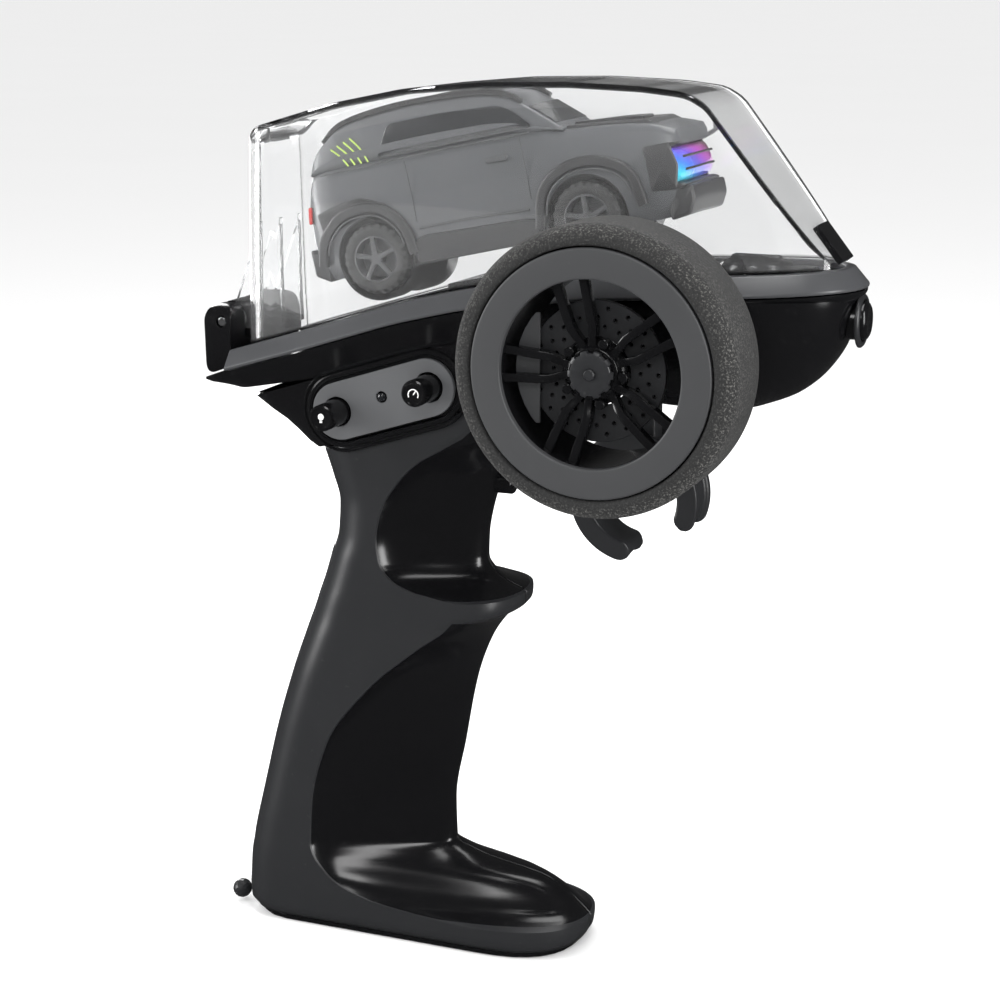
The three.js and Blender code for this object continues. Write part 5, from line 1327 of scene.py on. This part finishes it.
def slab(outline, y0, y1, radius=0.8, chamfer=0.3):
    # a rounded polygon of (p, q) extruded across the car, its two faces chamfered
    outline = rounded(outline, radius)
    middle = outline.mean(0)
    shrink = middle + (outline - middle) * (1 - chamfer / np.linalg.norm(outline - middle, axis=1).min())
    sign = np.sign(y1 - y0)
    rows = [(shrink, y0), (outline, y0 + sign * chamfer), (outline, y1 - sign * chamfer), (shrink, y1)]
    return facing(tube(np.array([onCar(line[:, 0], np.full(len(line), y), line[:, 1]) for line, y in rows])))


def bothSides(part):
    # the part and its mirror image
    return [part, mirrored(part)]


archOuter = {
    "rear": [(-12.6, 0.4), (-11.2, 5.4), (-7.0, 9.6), (-1.4, 11.0), (4.2, 9.8), (8.2, 5.4), (9.4, -0.4)],
    "front": [(38.6, -0.4), (40.6, 6.6), (44.6, 10.2), (50.2, 11.4), (56.0, 10.2), (60.2, 6.8), (61.6, 0.4)],
}


def smoothLine(points, steps=40):
    # even samples of a curve that passes through the points
    points = np.array(points, float)
    keys = np.concatenate([[0], np.cumsum(np.linalg.norm(np.diff(points, axis=0), axis=1))])
    extended = np.vstack([2 * points[0] - points[1], points, 2 * points[-1] - points[-2]])
    out = []
    for key in np.linspace(0, keys[-1], steps):
        k = min(np.searchsorted(keys, key, side="right") - 1, len(points) - 2)
        t = (key - keys[k]) / (keys[k + 1] - keys[k])
        a, b, c, d = extended[k : k + 4]
        bend = (2 * a - 5 * b + 4 * c - d) * t**2 + (3 * b - a - 3 * c + d) * t**3
        out.append(0.5 * (2 * b + (c - a) * t + bend))
    return np.array(out)


def makeCarBody():
    # the lofted body with its wheel wells and lamp room cut out, and the lofted cabin on it
    body = makePiece("carBody", loftCar(car["stations"], 0.62), "housing", finish["carGrey"],
                     ["car_body"], smooth=30)
    wells = [rodAcross(p, 0, car["well"], sign * 16, sign * car["wellDepth"])
             for p in (0, car["wheelbase"]) for sign in (-1, 1)]
    lampRoom = slab([(63.8, 3.0), (74, 3.0), (74, 11.0), (66.4, 11.0)], -15, 15, 0.4)
    carve(body, wells + [lampRoom])
    addBevel(body, 0.14, 2, 30)
    cabin = loftCar(car["cabin"], 0.14, 0.8)
    makePiece("carCabin", cabin, "housing", finish["carGrey"], ["car_cabin"], smooth=30)


def makeCarRoof():
    # a low tent across the roof, a rail along each side and four cross bars
    line = smoothLine([(-8.4, 26.2), (-4.4, 28.9), (2, 30.1), (13, 30.6), (28, 29.6), (35.2, 27.9), (38.4, 25.7)])
    roof = [ribbon(line + (0, 0.15), 8.6, 1.1, 0.5, sign) for sign in (-1, 1)]
    for p, q in ((4, 30.6), (12, 31.0), (20, 30.6), (28, 29.9)):
        bar = [(p - 0.7, q - 0.7), (p + 0.7, q - 0.7), (p + 0.7, q + 0.3), (p - 0.7, q + 0.3)]
        roof.append(slab(bar, -8, 8, 0.3, 0.15))
    tent = rounded([(-5, 28.2), (2, 29.6), (13, 30.2), (28, 29.2), (35, 27.4), (37.6, 26.0), (34, 28.3),
                    (28, 30.1), (13, 31.0), (2, 30.4)], 0.3)
    rings = [onCar(tent[:, 0], np.full(len(tent), y), tent[:, 1]) for y in (-8.2, -7.9, 7.9, 8.2)]
    roof.append(facing(tube(np.array(rings))))
    makePiece("carRoof", joined(roof), "housing", finish["glossBlack"])


def cabinHalf(q):
    # half width of the cabin's side, which leans in with height
    return 10.9 - 0.21 * (q - 20)


def makeCarGlass():
    # side windows: a rounded polygon laid on the leaning flank; windscreen: a sheet that widens downwards
    corners = [(7.6, 27.3), (20, 27.2), (33.4, 26.2), (36.4, 24.4), (40.6, 20.4), (4.2, 20.8)]
    outline = rounded(corners, 1.1, steps=5)
    middle, rings = outline.mean(0), []
    for scale, lift in ((0.97, 0.16), (1.0, 0.064), (1.0, -0.6), (0.97, -0.8)):
        line = middle + (outline - middle) * scale
        rings.append(onCar(line[:, 0], -cabinHalf(line[:, 1]) - lift, line[:, 1]))
    window = facing(tube(np.array(rings)))
    makePiece("carWindows", joined(bothSides(window)), "housing", finish["carGlass"])
    top, foot = np.array([(39.6, 24.6), (45.2, 20.1)])
    rows = top + np.linspace(0, 1, 9)[:, None] * (foot - top)
    sheet = np.stack([onCar(p + 0.25, np.linspace(-8.4 - 0.1 * k, 8.4 + 0.1 * k, 12), q + 0.35)
                      for k, (p, q) in enumerate(rows)])
    makePiece("carScreen", patch(sheet), "housing", finish["carGlass"], wall=0.5,
              inside=onCar(20.0, 0.0, 10.0), bevel=0.1)


def makeCarTrim():
    # dark parts: wheel arches, sills, both bumpers and the panel over each rear wheel
    trims = []
    for points in archOuter.values():
        trims += bothSides(ribbon(smoothLine(points), 12.5, 2.3, 0.75))
    sill = [(9.6, -2.6), (9.6, 2.0), (12.2, 3.0), (36.4, 2.2), (39.0, 1.4), (38.6, -2.8)]
    trims += bothSides(slab(sill, -12.95, -9.0, 0.8, 0.35))
    trims.append(slab([(66.4, -3.8), (70.6, -3.2), (72.2, -0.4), (72.2, 2.6), (66.2, 2.6)], -11.6, 11.6, 0.7, 0.5))
    trims.append(slab([(-15.9, -1.4), (-12.2, -3.4), (-11.6, 3.2), (-15.9, 4.4)], -11.2, 11.2, 0.7, 0.5))
    overWheel = [(-11.6, 11.6), (-6, 13.0), (-1, 13.4), (4.6, 11.2), (8.6, 6.4), (8.2, 4.6), (3.8, 9.6),
                 (-1.4, 11.0), (-7.0, 9.8), (-10.8, 6.0)]
    trims += bothSides(slab(overWheel, -12.75, -11.4, 0.5, 0.2))
    makePiece("carFlares", joined(trims), "housing", finish["carTrim"])


def makeCarBonnet():
    # a low panel over the bonnet and a narrower scoop on it
    cover = [(46, 17.4), (64, 15.9), (68.6, 14.4), (64.5, 17.0), (56, 18.2), (47, 19.2)]
    scoop = [(47, 18.6), (55, 18.0), (62, 17.2), (62, 17.9), (55, 18.9), (47, 19.6)]
    parts = [slab(cover, -8.6, 8.6, 0.5, 0.5), slab(scoop, -3.2, 3.2, 0.3, 0.2)]
    makePiece("carBonnet", joined(parts), "housing", finish["carTrim"])


def makeCarLines():
    # fine raised lines: inside the arches, along the sill and the belt, down the door edges, and the handle
    lights = []
    for points in archOuter.values():
        line = smoothLine(points)
        middle = np.array([line[:, 0].mean(), 0.0])
        inner = middle + (line - middle) * 0.86
        lights += bothSides(ribbon(inner[3:-3], 13.15, 0.34, 0.2))
    lights += bothSides(ribbon(smoothLine([(11.6, 4.6), (24, 4.5), (37, 3.9)], 20), 12.5, 0.5, 0.22))
    lights += bothSides(ribbon(smoothLine([(-9.4, 19.6), (13, 19.8), (40, 19.4)], 20), 11.3, 0.36, 0.2))
    for p in (11.2, 37.8):
        lights += bothSides(ribbon(np.array([(p, 6.0), (p + 0.1, 12.0), (p, 19.0)]), 12.42, 0.16, 0.12))
    lights += bothSides(slab([(29.5, 15.0), (34.5, 15.0), (34.5, 16.0), (29.5, 16.0)], -12.75, -12.0, 0.4, 0.15))
    makePiece("carTrimLines", joined(lights), "housing", finish["ringGrey"])


def makeCarLamps():
    # one lens right across the nose, narrowing at both ends, inside a dark bezel; then the tail lamps
    lens = np.array([(66.9, 3.6), (66.9, 10.6), (69.8, 10.6), (70.9, 9.4), (71.3, 7.0), (71.1, 4.8), (70.2, 3.6)])
    outline = rounded(lens, 0.8)
    half, root = 11.9, 66
    across = np.concatenate([[-half, -11.7], np.linspace(-10.8, 10.8, 45), [11.7, half]])
    narrow = 1 - 0.16 * (np.abs(across) / half) ** 4
    part = tube(np.array([onCar(root + (outline[:, 0] - root) * k, np.full(len(outline), y), outline[:, 1])
                          for y, k in zip(across, narrow)]))
    y, z = part[0][:, 1], part[0][:, 2]
    # the sweep value lays the painted iridescent sheen up the lens and across the nose
    sweep = np.clip((z - z.min()) / np.ptp(z) * 0.55 + (y + half) / (2 * half) * 0.6, 0, 1)
    makePiece("carLens", part, "housing", finish["lens"], ["car_lamp_bar"], values={"sweep": sweep})
    bezel = []
    for low, high in ((2.2, 3.4), (10.8, 11.7)):
        edge = [(63.6, low), (63.6, high), (70.2, high), (71.2, (low + high) / 2), (70.2, low)]
        bezel.append(slab(edge, -half, half, 0.4, 0.3))
    cheek = [(63.4, 2.4), (63.4, 11.8), (69.0, 11.8), (70.2, 7), (69.0, 2.4)]
    bezel += bothSides(slab(cheek, -12.2, -10.9, 0.5, 0.3))
    makePiece("lampBezel", joined(bezel), "housing", finish["carTrim"])
    bars = [slab([(70.3, q), (70.3, q + 0.5), (71.35, q + 0.5), (71.35, q)], -9.6, 9.6, 0.15, 0.1)
            for q in (5.6, 8.2)]
    makePiece("lampBars", joined(bars), "housing", finish["glossBlack"])
    red = bothSides(slab([(-14.7, 9.8), (-13.9, 9.8), (-13.3, 13.4), (-14.1, 13.4)], -11.2, -9.2, 0.3, 0.15))
    makePiece("tailLamps", joined(red), "housing", finish["tailRed"])


def makeStripes():
    # four slanted strokes on the pillar, each one step further forwards
    marks = []
    for k in range(4):
        p = 1.6 * k
        line = smoothLine([(p - 6.4, 24.6 + 0.5 * k), (p - 4.2, 22.6 + 0.3 * k), (p - 2.6, 20.4)], 14)
        marks += bothSides(ribbon(line, cabinHalf(line[:, 1]) + 0.05, 0.36, 0.1))
    makePiece("flankStripes", joined(marks), "housing", finish["accentGreen"])


def ringsOnCar(p, rows, angle):
    # a closed ring section about an axle: each row is its radius, or radii, and its place across the car
    rings = [onCar(p + r * np.cos(angle), np.full(len(angle), y), r * np.sin(angle)) for r, y in rows]
    return facing(patch(np.array(rings), wrapRows=True, wrapCols=True))


def carTyre(p, face, back, sign):
    # a squared ring whose tread steps up at each block
    angle = np.linspace(0, 2 * np.pi, 144, endpoint=False)
    block = 0.22 * (np.cos(angle * car["treadBlocks"]) > 0)
    rows = [(4.9, face - sign * 1.6, 0), (4.9, face - sign * 0.3, 0), (5.4, face, 0), (6.6, face, 0),
            (7.2, face - sign * 0.5, 1), (7.38, face - sign * 1.1, 1), (7.38, face - sign * 2.2, 1),
            (7.3, face - sign * 2.3, 0), (7.3, face - sign * 2.5, 0), (7.38, face - sign * 2.6, 1),
            (7.38, back + sign * 0.8, 1), (6.9, back, 0), (4.9, back, 0)]
    return ringsOnCar(p, [(r + k * block, y) for r, y, k in rows], angle)


def carRim(p, face, back, sign):
    # a dished ring, a hub, a back plate and straight spokes between hub and ring
    angle = np.linspace(0, 2 * np.pi, 144, endpoint=False)
    dish = [(4.95, face - sign * 0.2), (4.6, face - sign * 0.15), (4.3, face - sign * 1.4),
            (4.25, back + sign * 0.4), (4.95, back + sign * 0.4)]
    parts = [ringsOnCar(p, dish, angle), rodAcross(p, 0, 1.5, face - sign * 0.35, back + sign * 0.6, 32),
             rodAcross(p, 0, 4.4, face - sign * 2.6, back + sign * 0.8, 48)]
    bar = rounded([(-0.55, -0.6), (0.55, -0.6), (0.55, 0.6), (-0.55, 0.6)], 0.3, steps=2)
    reach = np.linspace(1.0, 4.6, 7)
    for turn in np.arange(car["spokes"]) * 2 * np.pi / car["spokes"] + 0.3:
        path = onCar(p + reach * np.cos(turn), face - sign * 0.9, reach * np.sin(turn))
        sideways = onCar(-np.sin(turn), 0.0, np.cos(turn)) - onCar(0.0, 0.0, 0.0)
        parts.append(sweptAlong(path, bar, sideways, (0, 1, 0)))
    return joined(parts)


def makeCarWheels():
    # a tyre and a rim at each end of both axles, and a dark cup inside each wheel well
    angle = np.linspace(0, 2 * np.pi, 64, endpoint=False)
    liners = []
    for label, p in (("rear", 0.0), ("front", car["wheelbase"])):
        for name, sign in (("right", -1), ("left", 1)):
            place = p, sign * car["wheelFace"], sign * (car["wheelFace"] - car["wheelWidth"]), sign
            corner, body = label.title() + name.title(), f"car_{label}_{name}"
            makePiece("carTyre" + corner, carTyre(*place), body, finish["carRubber"],
                      [f"car_wheel_{label}_{name}"])
            makePiece("carRim" + corner, carRim(*place), body, finish["ringGrey"])
            cup = [(8.95, 12.0), (8.6, 12.0), (8.6, 6.4), (0.5, 6.4), (0.5, 6.1), (8.95, 6.1)]
            liners.append(ringsOnCar(p, [(r, sign * y) for r, y in cup], angle))
    makePiece("wheelLiners", joined(liners), "housing", finish["glossBlack"])


makeCarBody()
makeCarRoof()
makeCarGlass()
makeCarTrim()
makeCarLines()
makeCarBonnet()
makeCarLamps()
makeStripes()
makeCarWheels()
print("docked car made")


# each carried-over node, with its finish and how far its edges are rounded
nodeFinish = {
    "foot_base_plate": ("glossBlack", 0.3),
    "lanyard_lug": ("satinGrey", 0),
    "dome_latch_clip": ("glossBlack", 0.25),
    "dome_hinge_pin": ("springSteel", 0.15),
    "latch_spring": ("springSteel", 0.15),
    "control_panel_left": ("panelGrey", 0.15),
    "power_slider": ("glossBlack", 0.2),
    "display_ramp": ("glossBlack", 0.25),
    "grip_screw_lower": ("springSteel", 0.1),
    "grip_screw_upper": ("springSteel", 0.1),
    "battery_cell_right": ("cellWrap", 0.3),
    "battery_cell_left": ("cellWrap", 0.3),
    "battery_cell_front": ("cellWrap", 0.3),
    "battery_contact_lower": ("brass", 0.1),
    "battery_contact_upper": ("brass", 0.1),
    "main_circuit_board": ("boardGreen", 0.1),
    "antenna_strip": ("brass", 0.1),
    "light_switch_body": ("carTrim", 0.2),
    "speed_switch_body": ("carTrim", 0.2),
    "power_switch_body": ("carTrim", 0.2),
    "aux_switch_body": ("carTrim", 0.2),
    "steering_bush": ("satinGrey", 0.15),
    "steering_shaft": ("glossBlack", 0.2),
    "steering_spring": ("springSteel", 0.15),
    "steering_potentiometer": ("boardGreen", 0.2),
    "trigger_pivot_pin": ("springSteel", 0.15),
    "trigger_return_spring": ("springSteel", 0.12),
    "trigger_potentiometer": ("boardGreen", 0.2),
    "brake_caliper": ("ringGrey", 0.2),
    "car_chassis": ("carTrim", 0.2),
}


def dressNodes():
    # every node that no new piece stands in for keeps its mesh and gets a finish and rounded edges
    for name, (finishName, width) in nodeFinish.items():
        node = nodes[name]
        node.data.materials.clear()
        node.data.materials.append(finish[finishName])
        weld = node.modifiers.new("weld", "WELD")
        weld.merge_threshold = 2e-6
        if width:
            addBevel(node, width, 2, 40)


dressNodes()
print("carried-over nodes dressed")


studio = {"floorTint": 0.94, "skyStrength": 0.94, "roomGlow": 0.05,
          # name, place, aim, width, height, watts
          "lights": [("keyBox", (-0.62, -0.34, 0.27), (0.0, 0, 0.11), 0.24, 0.5, 4.2),
                     ("topBox", (0.10, 0.02, 0.78), (0.03, 0, 0.12), 0.6, 0.3, 3.0),
                     ("rimBox", (0.66, -0.16, 0.30), (0.05, 0, 0.13), 0.16, 0.6, 3.4),
                     ("faceBox", (0.16, -0.78, 0.58), (0.05, 0, 0.15), 0.34, 0.22, 1.8),
                     ("backBox", (-0.42, 0.42, 0.32), (0.0, 0, 0.11), 0.16, 0.6, 3.0)]}


def makeFloor():
    # a pale plane just under the foot, with a slow drift of tint
    material, tree, shader = newMaterial("paleFloor")
    where = tree.nodes.new("ShaderNodeTexCoord").outputs["Object"]
    slow = noiseNode(tree, where, 3.0, 2)
    tint = studio["floorTint"]
    tree.links.new(mixNode(tree, slow, (tint, tint, tint, 1), (tint + 0.02, tint + 0.02, tint + 0.02, 1)),
                   shader.inputs["Base Color"])
    shader.inputs["Roughness"].default_value = 0.9
    shader.inputs["Specular IOR Level"].default_value = 0.1
    mesh = bpy.data.meshes.new("floor")
    mesh.from_pydata([(-30, -30, 0), (30, -30, 0), (30, 30, 0), (-30, 30, 0)], [], [(0, 1, 2, 3)])
    floor = bpy.data.objects.new("floor", mesh)
    bpy.context.scene.collection.objects.link(floor)
    floor.location.z = -0.0002
    floor.data.materials.append(material)
    floor.visible_glossy = False


def makeWorld():
    # near-white room for direct and diffuse rays, and a dim one for reflections so that the boxes read
    world = bpy.data.worlds.new("studioRoom")
    bpy.context.scene.world = world
    world.use_nodes = True
    tree = world.node_tree
    background = tree.nodes["Background"]
    path = tree.nodes.new("ShaderNodeLightPath")
    change = studio["roomGlow"] - studio["skyStrength"]
    strength = mathNode(tree, "MULTIPLY", path.outputs["Is Glossy Ray"], change)
    strength = mathNode(tree, "ADD", strength, studio["skyStrength"])
    background.inputs["Color"].default_value = (1, 1, 1, 1)
    tree.links.new(strength, background.inputs["Strength"])


def makeLights():
    # rectangular boxes, each turned from its place to its aim
    for name, place, aim, width, height, watts in studio["lights"]:
        data = bpy.data.lights.new(name, "AREA")
        data.shape = "RECTANGLE"
        data.size, data.size_y, data.energy = width, height, watts
        light = bpy.data.objects.new(name, data)
        bpy.context.scene.collection.objects.link(light)
        light.location = place
        light.rotation_euler = (Vector(aim) - Vector(place)).to_track_quat("-Z", "Y").to_euler()


makeFloor()
makeWorld()
makeLights()
bpy.context.scene.view_settings.view_transform = "Standard"
print("studio made")
